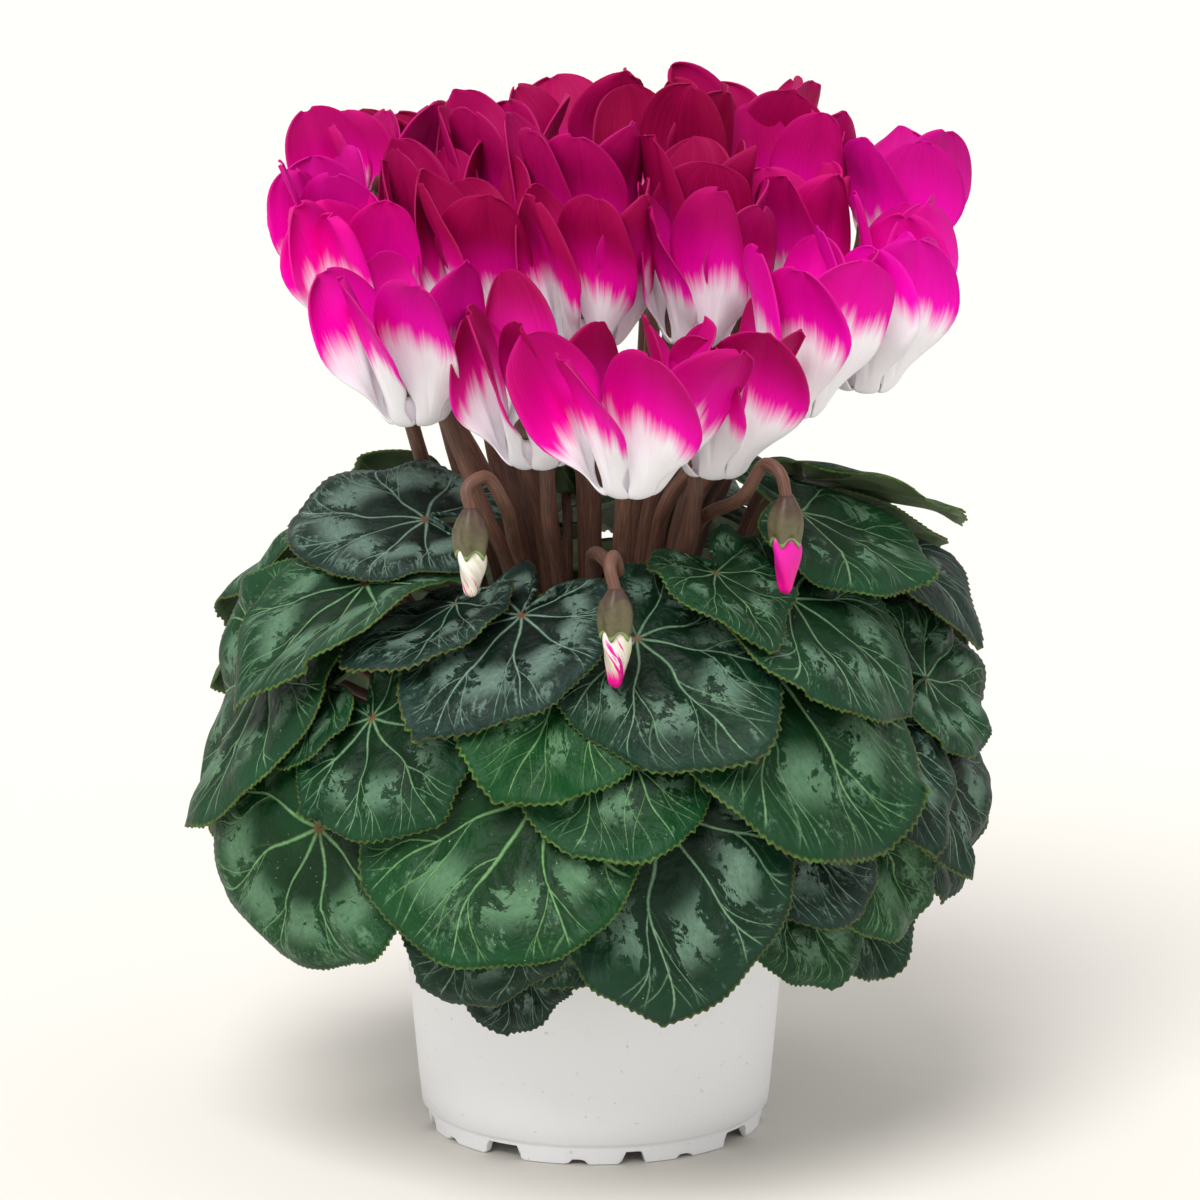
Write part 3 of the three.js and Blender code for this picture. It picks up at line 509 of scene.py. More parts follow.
def routeStalk(base, rest, taken):
    inside = base - dome["centre"]
    outside = rest[0] - dome["centre"]
    share = 0
    while np.linalg.norm(inside + (outside - inside) * share) < dome["top"] + 6 and share < 1:
        share += 0.02
    natural = unit(inside + (outside - inside) * share)
    east = unit(np.cross([0, 0, 1], natural))
    north = np.cross(natural, east)
    for ring in range(16):
        count = 6 + 4 * ring if ring else 1
        for i in range(count):
            angle = (-1 if i % 2 else 1) * math.ceil(i / 2) * 2 * math.pi / count
            shift = stalks["ringStep"] * ring / dome["side"]
            way = unit(natural + north * shift * math.cos(angle) + east * shift * math.sin(angle))
            if any(np.linalg.norm(other - way) * dome["side"] < stalks["apart"] for other in taken):
                continue
            through = [dome["centre"] + way * (dome["top"] + step) for step in (-8, 12)]
            path = [base, *through, *rest]
            if clearOf(path, stalks["margin"]):
                taken.append(way)
                return path
    print("a stalk has no clear way", rest[0])
    return [base, *rest]


def placeBloom(row):
    x, y, z, length, flare, turn = row
    mouth = np.array([x, y, z], dtype=float)
    reach = math.hypot(x, y)
    outward = np.array([x / reach, y / reach, 0]) if reach > 12 else np.array([0, -1.0, 0])
    lean = math.radians(1 + 5 * reach / 90)
    axis = unit(outward * math.sin(lean) + np.array([0, 0, math.cos(lean)]))
    inward = unit(-outward + axis * np.dot(outward, axis))
    bloom = {"mouth": mouth, "axis": axis, "inward": inward, "side": np.cross(axis, inward)}
    bloom.update({"site": mouth + axis * 0.55 * length, "length": length, "flare": flare, "turn": turn})
    # how far a flower is at the front of the mass and at its sides
    bloom.update({"front": float(smooth(30, -50, y)), "outer": float(smooth(40, 80, abs(x)))})
    return bloom


def inBloom(bloom, radius, angle, height):
    radius, angle, height = [np.asarray(part, dtype=float)[..., None] for part in (radius, angle, height)]
    flat = bloom["inward"] * np.cos(angle) + bloom["side"] * np.sin(angle)
    return bloom["mouth"] + flat * radius + bloom["axis"] * height


blooms = [placeBloom(row) for row in bloomRows]
takenWays = []
for bloom in reversed(blooms):
    base = np.array([bloom["mouth"][0] * 0.19, bloom["mouth"][1] * 0.19, corm["top"] - 2])
    hook = [inBloom(bloom, r, 0, h) for r, h in ((9.8, -14), (9.8, 5), (8.2, 17), (3.2, 20.5), (0, 16))]
    bloom["path"] = routeStalk(base, hook, takenWays)

# the last stretch of each bud stalk, from where its hook begins, about the top of the hook
budHooks = [
    [[9.5, 4, -8], [4, -1, 1.2], [-1.2, -5, -1.5]],
    [[1.6, 5.4, -4], [0.4, 0.4, 1.2], [-0.6, -4.6, -1.2]],
    [[-11, 5, -9], [-5, 0, 1.2], [-0.8, -5, -0.6]],
]
buds = []
for (x, y, z, heading, tip), hook in zip(budRows, budHooks):
    out = aboutAxis(math.radians(heading), 1, 0)
    top = np.array([x, y, z], dtype=float)
    neck = top + out * 6.5 + np.array([0, 0, -9.0])
    base = np.array([x * 0.13, y * 0.13, corm["top"] - 2])
    rest = [top - out * 6 + np.array([0, 0, -9.0]), top, neck, neck + np.array([0, 0, -2.0])]
    path = routeStalk(base, rest, takenWays)[:-4]
    path += [top + np.array(step) for step in hook] + [neck + np.array([0, 0, 1.0])]
    buds.append({"top": top, "neck": neck, "tip": tip, "path": path})
print("stalks routed:", len(blooms), "flowers and", len(buds), "buds")


# gaps between the feet: azimuth in each quarter, width in degrees, height
# bulge: where the wall was squeezed a little out of round
pot = {"height": 97, "skirtRadius": 52.2, "skirtHeight": 6, "skirtWall": 2.6, "baseRadius": 54.2,
       "taper": 0.087, "wall": 1.8, "floor": 2.4, "rimRadius": 65, "rimHeight": 10, "sides": 256,
       "gaps": [(-33, 13, 5.4), (-6, 5.5, 1.6), (13, 7, 4.2), (32, 5, 1.2)],
       "bulge": {"depth": 0.5, "azimuth": 78, "height": 49}}


def potMaterial():
    made, wire, shader = newMaterial("potPlastic", IOR=1.46)
    coords = wire.coords()
    cloud = coords.noise(18, 3)
    specks = coords.noise(520, 1).ramp(0.73, 0.78)
    scuffs = coords.noise(60, 5, 0.7, 1.5).ramp(0.6, 0.75)
    base = (cloud * 0.8).blend((253, 253, 255), (246, 247, 250))
    base = (scuffs * 0.2).blend(base, (214, 215, 216))
    feed(shader, "Base Color", (specks * 0.3).blend(base, (150, 145, 138)))
    feed(shader, "Roughness", 0.34 + cloud * 0.14)
    grain = coords.noise(900, 2) * 0.3 + cloud
    feed(shader, "Normal", grain.bump(0.0004, 0.25))
    return made


def makePot():
    def outer(z):
        return pot["baseRadius"] + pot["taper"] * (z - pot["skirtHeight"])

    # depth of each gap between the feet, with sloping sides
    def footGap(azimuth):
        depth = np.zeros_like(azimuth)
        for quarter in (0, 90, 180, 270):
            for middle, width, height in pot["gaps"]:
                apart = np.abs((azimuth - quarter - middle + 180) % 360 - 180)
                depth = np.maximum(depth, height * (1 - smooth(width / 2 - 0.8, width / 2 + 0.9, apart)))
        return depth

    skirt = pot["skirtRadius"]
    skirtInner = skirt - pot["skirtWall"]
    low = pot["skirtHeight"]
    inside = low + pot["floor"]
    rim = pot["rimRadius"]
    top = pot["height"]
    rimLow = top - pot["rimHeight"]
    wall = pot["wall"]
    # radius, height and how far the feet's gaps raise it
    profile = [
        [0.01, low, 0], [skirtInner - 1, low, 0], [skirtInner, low - 0.3, 0], [skirtInner, 0.5, 1],
        [skirtInner + 0.5, 0, 1], [skirt - 0.9, 0, 1], [skirt - 0.3, 0.5, 1], [skirt - 0.05, 3, 0.6],
        [skirt, low - 0.3, 0], [skirt + 0.4, low + 0.2, 0], [skirt + 1.4, low + 0.7, 0],
        [outer(low + 1.5), low + 1.5, 0], [outer(20), 20, 0], [outer(44), 44, 0], [outer(66), 66, 0],
        [outer(rimLow - 2), rimLow - 2, 0], [rim - 3.2, rimLow - 1, 0], [rim - 1, rimLow, 0],
        [rim - 0.5, rimLow + 1, 0], [rim - 0.1, top - 5, 0], [rim, top - 1, 0], [rim - 0.4, top - 0.2, 0],
        [rim - 1, top, 0], [rim - 1.6, top - 0.2, 0], [rim - 2, top - 1, 0],
        [outer(rimLow) - 1.7, rimLow + 1, 0], [outer(40) - wall, 40, 0],
        [outer(9) - wall, inside + 0.8, 0], [50, inside, 0], [0.01, inside, 0],
    ]
    profile = np.array(profile)
    steps = np.linspace(0, 1, len(profile))

    def form(along, across):
        radius, height, gap = [np.interp(along, steps, profile[:, i]) for i in range(3)]
        azimuth = 180 * across
        height = height + gap * footGap(azimuth) * np.clip(1 - height / low, 0, 1)
        bulge = pot["bulge"]
        near = np.exp(-((azimuth - bulge["azimuth"]) / 9) ** 2 - ((height - bulge["height"]) / 5) ** 2)
        flare = bulge["depth"] * near
        radius = radius + flare + 0.12 * np.sin(np.radians(3 * azimuth)) * smooth(10, 60, height)
        return aboutAxis(np.radians(azimuth), radius, height)

    mesh = newMesh()
    addGrid(mesh, pot["sides"] + 1, len(profile), form, weld=2e-5)
    piece = finishPiece("pot_shell", mesh, [potMaterial()], "pot")
    piece.data.set_sharp_from_angle(angle=math.radians(50))


makePot()
print("pot made")


# shares of the profile at which the soil leaves the corm and turns down at the wall
soil = {"top": 83, "inner": 29.3, "edge": 58.6, "innerShare": 0.12, "edgeShare": 0.84, "rows": 40,
        "columns": 120}


def soilMaterial():
    made, wire, shader = newMaterial("pottingSoil", Roughness=0.95)
    coords = wire.coords()
    crumbs = coords.noise(260, 6, 0.7)
    clods = coords.noise(70, 4)
    base = clods.ramp(0.35, 0.65).blend((38, 27, 21), (78, 58, 44))
    feed(shader, "Base Color", (crumbs.ramp(0.62, 0.7) * 0.6).blend(base, (128, 104, 82)))
    feed(shader, "Normal", (crumbs + clods).bump(0.003, 0.9))
    return made


def makeSoil():
    def form(along, across):
        turn = np.pi * across
        inner, edge = soil["innerShare"], soil["edgeShare"]
        outside = np.clip((along - inner) / (edge - inner), 0, 1)
        beyond = (along - edge) / (1 - edge)
        radius = soil["inner"] + (soil["edge"] - soil["inner"]) * outside
        lumps = np.sin(turn * 11 + 5 * outside) * np.sin(outside * 23) + 0.6 * np.sin(turn * 29 + radius)
        height = soil["top"] + 0.5 * lumps
        height = np.where(along < inner, soil["top"] - 20 * (inner - along) / inner, height)
        height = np.where(beyond > 0, soil["top"] - 70 * beyond, height)
        radius = np.where(beyond > 0, soil["edge"] - 5.6 * beyond, radius)
        return aboutAxis(turn, radius, height)

    mesh = newMesh()
    addGrid(mesh, soil["columns"] + 1, soil["rows"], form, weld=1e-6)
    closeEnds(mesh, 0)
    finishPiece("soil_fill", mesh, [soilMaterial()], "soil")


makeSoil()
print("soil made")


# corm, flower stalks and calyces
def stalkMaterial(name, dark, light):
    made, wire, shader = newMaterial(name, Roughness=0.5)
    length, east, north = wire.parts("place")
    coords = wire.coords()
    streaks = wire.join(length * 5, east * 3, north * 3).noise(2.2, 4, 0.6)
    mottle = coords.noise(420, 3)
    base = streaks.ramp(0.35, 0.68).blend(dark, light)
    feed(shader, "Base Color", (mottle.ramp(0.55, 0.75) * 0.35).blend(base, (120, 84, 66)))
    feed(shader, "Roughness", 0.42 + mottle * 0.25)
    feed(shader, "Normal", (streaks + mottle * 0.4).bump(0.0005, 0.35))
    return made


stemBrown = stalkMaterial("stalkSkin", (76, 55, 43), (120, 81, 64))


# sepals: brown at the stalk, greener towards their tips, with a pale edge
def calyxMaterial():
    made, wire, shader = newMaterial("calyxSkin", Roughness=0.5)
    along = wire.attribute("place").part(0)
    coords = wire.coords()
    mottle = coords.noise(420, 3)
    blotch = coords.noise(150, 3, 0.6)
    base = (along + (blotch - 0.5) * 0.5).ramp(0.12, 0.5).blend((70, 50, 40), (96, 92, 64))
    base = (mottle.ramp(0.5, 0.7) * 0.5).blend(base, (58, 44, 36))
    edge = (along + (blotch - 0.5) * 0.04).band(0.585, 0.66, 0.014)
    feed(shader, "Base Color", (edge * 0.8).blend(base, (152, 186, 108)))
    feed(shader, "Normal", (blotch + mottle * 0.4).bump(0.0006, 0.4))
    return made


def cormMaterial():
    made, wire, shader = newMaterial("cormSkin", Roughness=0.85)
    coords = wire.coords()
    bark = coords.noise(120, 6, 0.7, 0.6)
    feed(shader, "Base Color", bark.ramp(0.3, 0.7).blend((52, 36, 27), (116, 84, 62)))
    feed(shader, "Normal", bark.bump(0.002, 0.8))
    return made


def makeCorm():
    mesh = newMesh()
    r, low, top = corm["radius"], corm["bottom"], corm["top"]
    profile = [[0.01, low], [12, low + 0.6], [0.72 * r, low + 3], [0.92 * r, low + 7], [r, low + 13],
               [r, top - 8], [r - 0.4, top - 4], [r - 1.4, top - 1.2], [r - 4, top - 0.2],
               [14, top + 0.2], [0.01, top + 0.2]]
    addTurned(mesh, np.zeros(3), [0, 0, 1], profile, 96, lobes=7, depth=0.012)
    finishPiece("corm_body", mesh, [cormMaterial()], "corm_and_stalks")
    mesh = newMesh()
    for bloom in blooms:
        line = bowedLine([spot for i, spot in enumerate(bloom["path"]) if i != 3], stalks["steps"])
        share = np.linspace(0, 1, len(line))
        radii = stalks["radius"] * (1.12 - 0.22 * share) * (1 - 0.12 * smooth(0.9, 1, share))
        addTube(mesh, line, radii, stalks["sides"])
    for bud in buds:
        line = bowedLine(bud["path"], stalks["steps"])
        radii = stalks["budRadius"] * (1.1 - 0.2 * np.linspace(0, 1, len(line)))
        addTube(mesh, line, radii, stalks["sides"])
    finishPiece("flower_stalks", mesh, [stemBrown], "corm_and_stalks")
    mesh = newMesh()
    for bloom in blooms:
        profile = [[2.1, 17.2], [3, 15.6], [4.6, 14.2], [6.6, 11.6], [7.4, 9.2], [6.9, 9.3], [5.8, 11.9],
                   [3, 12.6], [0.05, 12.6]]
        addTurned(mesh, bloom["mouth"], bloom["axis"], profile, 40, lobes=5, depth=0.1)
    for bud in buds:
        profile = [[0.05, 2.6], [2.2, 2.2], [3, 0.4], [4.4, -2], [5.3, -4.6], [5.4, -7], [4.9, -9.4],
                   [4.3, -10.6], [3.9, -10.4], [4.1, -8], [3, -4], [0.05, -3]]
        addTurned(mesh, bud["neck"], [0, 0, 1], profile, 60, lobes=5, depth=0.07, droop=2.6, rimAt=0.66)
    finishPiece("calyces", mesh, [calyxMaterial()], "corm_and_stalks")


makeCorm()
print("corm and stalks made")


# a petal's middle runs from the lip by the claw and the knee out to the flare
# every other flower turns by oddSkew in place of skew, but not those in front of foremost
petals = {"count": 5, "spread": 53, "lip": 4.8, "claw": [12.2, -6.6], "knee": 10.4, "kneeAt": 0.42,
          "flare": 18, "twist": 38, "swirl": -14, "stretch": 0.12, "halfWidth": 18.0, "thickness": 0.5,
          "columns": 17, "rows": 38, "room": 6.0, "softFrom": 0.6, "neighbour": 95, "white": 0.51,
          "skew": 24, "oddSkew": -20, "foremost": -80}


def petalMaterial():
    made, wire, shader = newMaterial("petalSkin", Specular_IOR_Level=0.1, Roughness=0.55)
    along, across, shade = wire.parts("place")
    seed, tone, white = wire.parts("mark")
    fine = wire.join(across * 11, along * 1.3, seed * 40).noise(1.7, 5, 0.66)
    hair = wire.join(across * 30, along * 1.6, seed * 40 + 3).noise(1.5, 3, 0.6)
    broad = wire.join(across * 2.0, along * 0.9, seed * 40 + 7).noise(1.2, 2)
    rim = abs(across)
    ragged = (broad - 0.5) * 0.24 + (fine - 0.5) * 0.12 + (hair - 0.5) * 0.05
    edge = white + ragged - rim * rim * 0.06
    blush = (along - edge).ramp(-0.05, 0.075)
    # deep turns hot pink into crimson away from the white's edge, and further into crimson with the
    # painted shade
    deep = (along - edge + (broad - 0.5) * 0.2 + shade * 0.08).ramp(0.04, 0.34) * (0.86 + shade * 0.14)
    # the white is painted greyer towards the petal's base: painted shade deep in the flower
    grey = along.ramp(0, 0.25).blend((226, 226, 229), (250, 248, 251))
    pale = ((hair - 0.5) * 0.4 + 0.06).blend(grey, (208, 206, 214))
    hot = tone.blend((255, 0, 168), (248, 8, 188))
    # crimson darkens to a deeper red where the flower is in painted shade
    crimson = shade.blend(tone.blend((204, 0, 98), (188, 0, 130)), (146, 0, 62))
    flush = deep.blend(hot, crimson)
    flush = ((fine - 0.5) * 0.8 + (hair - 0.5) * 0.5).blend(flush, (120, 0, 60))
    flush = ((0.5 - fine) * 0.6).blend(flush, (248, 20, 168))
    colour = blush.blend(pale, flush)
    # a thin lighter pink line along the coloured part of the petal's edge is a painted highlight
    colour = (rim.ramp(0.965, 1) * 0.05 * blush).blend(colour, (250, 120, 205))
    feed(shader, "Base Color", colour)
    feed(shader, "Roughness", 0.5 + fine * 0.16)
    feed(shader, "Normal", (fine * 0.7 + hair * 0.3 + broad * 0.6).bump(0.0008, 0.4))
    return made


# holds a petal's points back from the flowers next to its own
def crowd(bloom, points, share):
    soft = petals["softFrom"]
    for again in range(2):
        for other in blooms:
            towards = (other["site"] - bloom["site"]) * [1, 1, 0]
            apart = np.linalg.norm(towards)
            if other is bloom or apart > petals["neighbour"]:
                continue
            towards = towards / apart
            limit = apart / 2 + petals["room"]
            reach = (points - bloom["site"]) @ towards / limit
            over = np.maximum(reach - soft, 0)
            pressed = np.where(over > 0, 1 - (1 - soft) * np.exp(-over / (1 - soft)), reach)
            points = points + towards * ((pressed - reach) * limit * share)[:, None]
    return points


# own is the petal's own way of growing: random numbers from -1 to 1
def petalForm(bloom, number, own, along, across):
    length, flare, turn = bloom["length"], bloom["flare"], bloom["turn"]
    length = length * (0.985 + 0.03 * own[0] + petals["stretch"] * bloom["front"])
    variation = math.sin(number * 2.4 + math.radians(turn * 3))
    direction = math.radians(180 + (number - 2) * petals["spread"] + bloom["skew"])
    # outward petals of the flowers at the sides stand steeper, side petals of the front ones spread
    steep = (4 + 8 * max(0, -math.cos(direction))) * bloom["outer"]
    wing = math.sin(direction) ** 2 * bloom["front"] * (1 - bloom["outer"])
    inward = petals["stretch"] * bloom["front"] * max(0, math.cos(direction))
    length = length * (1 - 0.06 * wing + inward)
    flareOut = petals["flare"] + 9 * flare + 3 * variation + 4.2 * own[1] + 7 * wing - steep
    knee = [petals["knee"] + 3 * flare + own[2], petals["kneeAt"] * length]
    stops = np.array([[petals["lip"], 1.6], petals["claw"], knee, [flareOut, length + 2 * variation]])
    s = 1 - along
    weights = np.stack([s ** 3, 3 * s * s * along, 3 * s * along ** 2, along ** 3], axis=1)
    slopes = np.stack([-s * s, s * s - 2 * s * along, 2 * s * along - along ** 2, along ** 2], axis=1)
    radius, height = (weights @ stops).T
    run = slopes @ stops
    run /= np.linalg.norm(run, axis=1)[:, None]
    widen, rise = run.T
    swirl = math.radians(petals["swirl"] + 5 * own[3]) * smooth(0.1, 1, along)
    angle = direction + math.radians(5 * own[4]) + swirl
    rounded = np.sqrt(np.clip(1 - (np.maximum(along - 0.66, 0) / 0.342) ** 2.6, 0, 1))
    wide = 0.15 + 0.07 * smooth(0, 0.3, along) + 0.78 * smooth(0.36, 0.78, along)
    half = petals["halfWidth"] * (1 + 0.07 * own[5] - 0.1 * bloom["outer"]) * wide * rounded
    point = 1.3 * own[6] * smooth(0.8, 1, along) * (1 - across ** 2)
    twist = math.radians(petals["twist"] + 6 * variation + 9 * own[3]) * smooth(0.12, 0.66, along)
    ruffle = (1 + 0.8 * own[7]) * np.sin(3.4 * across + 2 * own[8] + 5 * along)
    ruffle = ruffle * smooth(0.45, 0.95, along)
    crease = -0.9 * np.exp(-(across / 0.14) ** 2) * smooth(0.3, 0.6, along) * (1 - smooth(0.85, 1, along))
    curl = (1.4 + 2.4 * own[9]) * smooth(0.74, 1, along)
    wrap = -(half * across) ** 2 / (2 * radius + 3) * (1 - smooth(0.38, 0.66, along))
    hollow = (-0.11 + 0.06 * own[9]) * half * across ** 2 * smooth(0.06, 0.5, along)
    cup = wrap + hollow + ruffle + curl + crease
    tangential = half * across * np.cos(twist) - cup * np.sin(twist)
    outward = half * across * np.sin(twist) + cup * np.cos(twist)
    points = inBloom(bloom, radius + outward * rise, angle, height - outward * widen + point)
    sideways = inBloom(bloom, 1 + 0 * along, angle + np.pi / 2, 0 * along) - bloom["mouth"]
    return crowd(bloom, points + sideways * tangential[:, None], smooth(0.05, 0.4, along))


# the rows of a petal lie closer together towards its round tip
def rowsAt(along):
    return np.where(along > 0.6, 1 - 0.4 * ((1 - along) / 0.4) ** 1.8, along)


def makeFlowers():
    skin = petalMaterial()
    for index, bloom in enumerate(blooms):
        mesh = newMesh()
        # flowers at the back and middle show less of the white; shade is a painted shade that deepens
        # their red, strongest there and varied at random
        front, outer = bloom["front"], bloom["outer"]
        tone = float(np.clip(0.15 + 0.55 * random.random() + 0.25 * outer, 0, 1))
        white = petals["white"] + 0.17 * front + 0.13 * outer
        odd = index % 2 and bloom["mouth"][1] > petals["foremost"]
        skew = petals["oddSkew"] if odd else petals["skew"]
        bloom["skew"] = skew * (0.7 + 0.3 * random.random())
        shade = float(np.clip(0.95 - 0.75 * outer - 0.35 * front + 0.25 * random.uniform(-1, 1), 0, 1))
        for number in range(petals["count"]):
            own = random.uniform(-1, 1, 10)
            mark = (random.random(), tone, white + 0.04 * random.uniform(-1, 1))

            def form(along, across):
                return petalForm(bloom, number, own, rowsAt(along), across)

            def place(along, across):
                return np.stack([rowsAt(along), across, 0 * along + shade], axis=1)

            addGrid(mesh, petals["columns"], petals["rows"], form, place, mark)
        profile = [[4.6, 0.2], [5.4, 1], [6.3, 4], [6.7, 7.4], [6.1, 9.6], [4, 11.3], [0.05, 12]]
        addTurned(mesh, bloom["mouth"], bloom["axis"], profile, 30, lobes=5, depth=0.05, mark=(0.5, 1, 2))
        name = "flower_%02d" % (index + 1)
        finishPiece(name + "_petals", mesh, [skin], name, petals["thickness"])


makeFlowers()
print("flowers made")


def budMaterial():
    made, wire, shader = newMaterial("budSkin", Roughness=0.45, Specular_IOR_Level=0.3)
    along, turn = wire.parts("place")[:2]
    seed, pinkness = wire.parts("mark")[:2]
    stripes = wire.join(turn * 2.6 + along * 2.4, along * 0.5, seed).noise(2.2, 3, 0.6)
    base = stripes.ramp(0.35, 0.6).blend((214, 214, 176), (240, 232, 226))
    pink = stripes.ramp(0.5, 0.58) * 0.6 + (pinkness - 0.5) * 1.5 + (0.5 - along) * 1.1
    pink = pink.ramp(0.15, 0.4)
    flush = (along + stripes * 0.3).ramp(0.2, 0.9).blend((232, 0, 140), (226, 30, 160))
    feed(shader, "Base Color", pink.blend(base, flush))
    feed(shader, "Normal", stripes.bump(0.0006, 0.5))
    return made


def makeBuds():
    skin = budMaterial()
    for index, (bud, pinkness) in enumerate(zip(buds, (0.2, 0.5, 1))):
        mesh = newMesh()
        top = -9.5
        share = np.linspace(0, 1, 22)
        radius = 2.0 + 2.1 * smooth(0, 0.75, share) - 0.7 * smooth(0.8, 1, share)
        radius = radius * np.sqrt(np.clip(1 - (1 - np.minimum(share / 0.13, 1)) ** 2, 0, 1))
        height = top - bud["tip"] * (1 - share)
        profile = np.stack([np.append(radius, 0.02), np.append(height, top + 0.6)], axis=1)
        profile[0, 0] = 0.02
        mark = (index * 3.1, pinkness, 0)
        addTurned(mesh, bud["neck"], [0, 0, 1], profile, 48, lobes=3, depth=0.14, twist=5, mark=mark)
        name = "bud_tip_%02d" % (index + 1)
        finishPiece(name + "_furled", mesh, [skin], name)


makeBuds()
print("buds made")


# sector is the angle between main veins; the reliefs from quilt to roll are in millimetres
# a blade keeps the spare from its neighbours, and gains room beyond their outlines, up to nearby
blade = {"rows": 19, "thickness": 0.6, "teethPerMillimetre": 1.3, "tooth": 0.52, "sector": 0.68,
         "quilt": 1.5, "groove": 0.5, "wave": 1.7, "frill": 1.4, "lift": 3.6, "roll": 1.4, "spare": 0.4,
         "nearby": 14, "roomBeyond": 0.32, "mostRoom": 12, "stalkRadius": 1.7, "stalkMargin": 2.4}


# the veins and the marbling both follow the place map, in which the veins run straight
def leafWires(wire):
    u, v, share = wire.parts("place")
    seed, grey, bright = wire.parts("mark")
    spot = wire.join(u, v, seed * 37)
    reach = wire.math("SQRT", u * u + v * v)
    angle = wire.math("ARCTAN2", v, u)
    number = wire.math("ROUND", angle / blade["sector"])
    off = angle - number * blade["sector"]
    side = wire.math("SIGN", off)
    out = reach * wire.math("COSINE", off)
    aside = abs(reach * wire.math("SINE", off))
    key = {"Vector": wire.join(number + side * 0.3, seed * 91, side)}
    chance = wire.node("ShaderNodeTexWhiteNoise", key, noise_dimensions="3D")
    thin = spot.noise(40, 2) * 0.008 - 0.004

    def line(distance, width):
        return 1 - (distance + thin).ramp(width * 0.25, width)

    def branch(distance, start, width):
        return line(distance, width) * (out - start).ramp(-0.004, 0.006)

    fork = 0.3 + chance * 0.26
    later = fork + 0.2
    main = line(aside, 0.017 - share * 0.01)
    offFirst = abs(aside - (out - fork) * 0.5)
    first = branch(offFirst, fork, 0.01 - share * 0.004)
    second = branch(abs(aside - (out - later) * 0.66), later, 0.008)
    twig = branch(abs(offFirst - (out - later) * 0.42), later, 0.007)
    veins = main.top(first * 0.9).top(second * 0.55).top(twig * 0.5)
    veins = veins * (1 - share.ramp(0.9, 0.985))
    between = (abs(off) / (blade["sector"] / 2)).ramp(0.1, 0.7)
    streaks = wire.join(angle * 5, reach * 2.2, seed * 13).noise(2.4, 4, 0.7)
    return spot, reach, veins, share, between, streaks, grey, bright


def leafMaterial():
    made, wire, shader = newMaterial("leafFace", Specular_IOR_Level=0.22)
    spot, reach, veins, share, between, streaks, grey, bright = leafWires(wire)
    ragged = spot.noise(9.5, 6, 0.7, 0.6)
    mottle = spot.noise(34, 4, 0.7)
    cloud = spot.noise(2.2, 2)
    patch = (ragged + between * 0.2 + grey * 0.07 + (mottle - 0.5) * 0.22).ramp(0.62, 0.665)
    patch = patch * share.band(0.5, 0.74, 0.09)
    frost = (streaks + (mottle - 0.5) * 0.4 + grey * 0.1).ramp(0.56, 0.72)
    frost = frost * share.band(0.6, 0.94, 0.06)
    paleness = patch.top(frost * 0.85)
    paleness = paleness * (0.62 + (mottle - 0.5) * 0.8)
    deep = bright.blend((9, 28, 21), (4, 48, 14))
    mid = bright.blend((18, 44, 33), (10, 71, 26))
    base = (cloud.ramp(0.35, 0.65) * 0.6 + share.ramp(0.35, 0.95) * 0.4).blend(deep, mid)
    base = (mottle.ramp(0.45, 0.75) * 0.3).blend(base, (8, 28, 18))
    base = (share.ramp(0.78, 1) * 0.35).blend(base, bright.blend((38, 62, 57), (28, 80, 42)))
    pale = bright.blend((113, 140, 126), (93, 137, 95))
    base = paleness.blend(base, pale)
    vein = bright.blend((120, 151, 129), (107, 156, 92))
    base = (veins * (ragged * 1.5 + 0.05)).blend(base, vein)
    base = ((1 - reach.ramp(0.01, 0.05)) * 0.8).blend(base, (116, 62, 42))
    rim = (mottle.ramp(0.35, 0.65) * 0.7 + bright * 0.3).blend((92, 66, 46), (104, 150, 62))
    base = (share.ramp(0.982, 1.0) * 0.7).blend(base, rim)
    speck = (spot.noise(75, 1)).ramp(0.77, 0.8)
    base = (speck * 0.5).blend(base, (190, 206, 200))
    feed(shader, "Base Color", base)
    feed(shader, "Roughness", 0.44 + ragged * 0.16 + paleness * 0.1)
    height = veins * -0.55 + spot.noise(9, 3) * 1.3 + mottle * 0.22
    feed(shader, "Normal", height.bump(0.0022, 0.65))
    return made


def undersideMaterial():
    made, wire, shader = newMaterial("leafBack", Roughness=0.6, Specular_IOR_Level=0.3)
    spot, reach, veins = leafWires(wire)[:3]
    cloud = spot.noise(3, 3)
    base = cloud.ramp(0.3, 0.7).blend((80, 104, 74), (118, 136, 100))
    base = (veins * 0.6).blend(base, (156, 164, 122))
    base = ((1 - reach.ramp(0.02, 0.12)) * 0.8).blend(base, (128, 78, 58))
    feed(shader, "Base Color", base)
    feed(shader, "Normal", (veins + cloud * 0.4).bump(0.001, 0.6))
    return made


# how far each point of a blade may move out and in before it nears a neighbour
def roomAround(index, a, b):
    table = {key: np.delete(leafTable[key], index, axis=0) for key in leafTable}
    squarely, beyond, gap = meetBlades(bladePoint(leaves[index], a, b), table)
    beyond = np.maximum(beyond, 0)
    near = squarely & (beyond < blade["nearby"])
    room = np.abs(gap) / 2 - blade["spare"] + blade["roomBeyond"] * beyond
    upward = np.where(near & (gap > 0), room, blade["mostRoom"]).min(axis=1)
    downward = np.where(near & (gap <= 0), room, blade["mostRoom"]).min(axis=1)
    return upward, downward


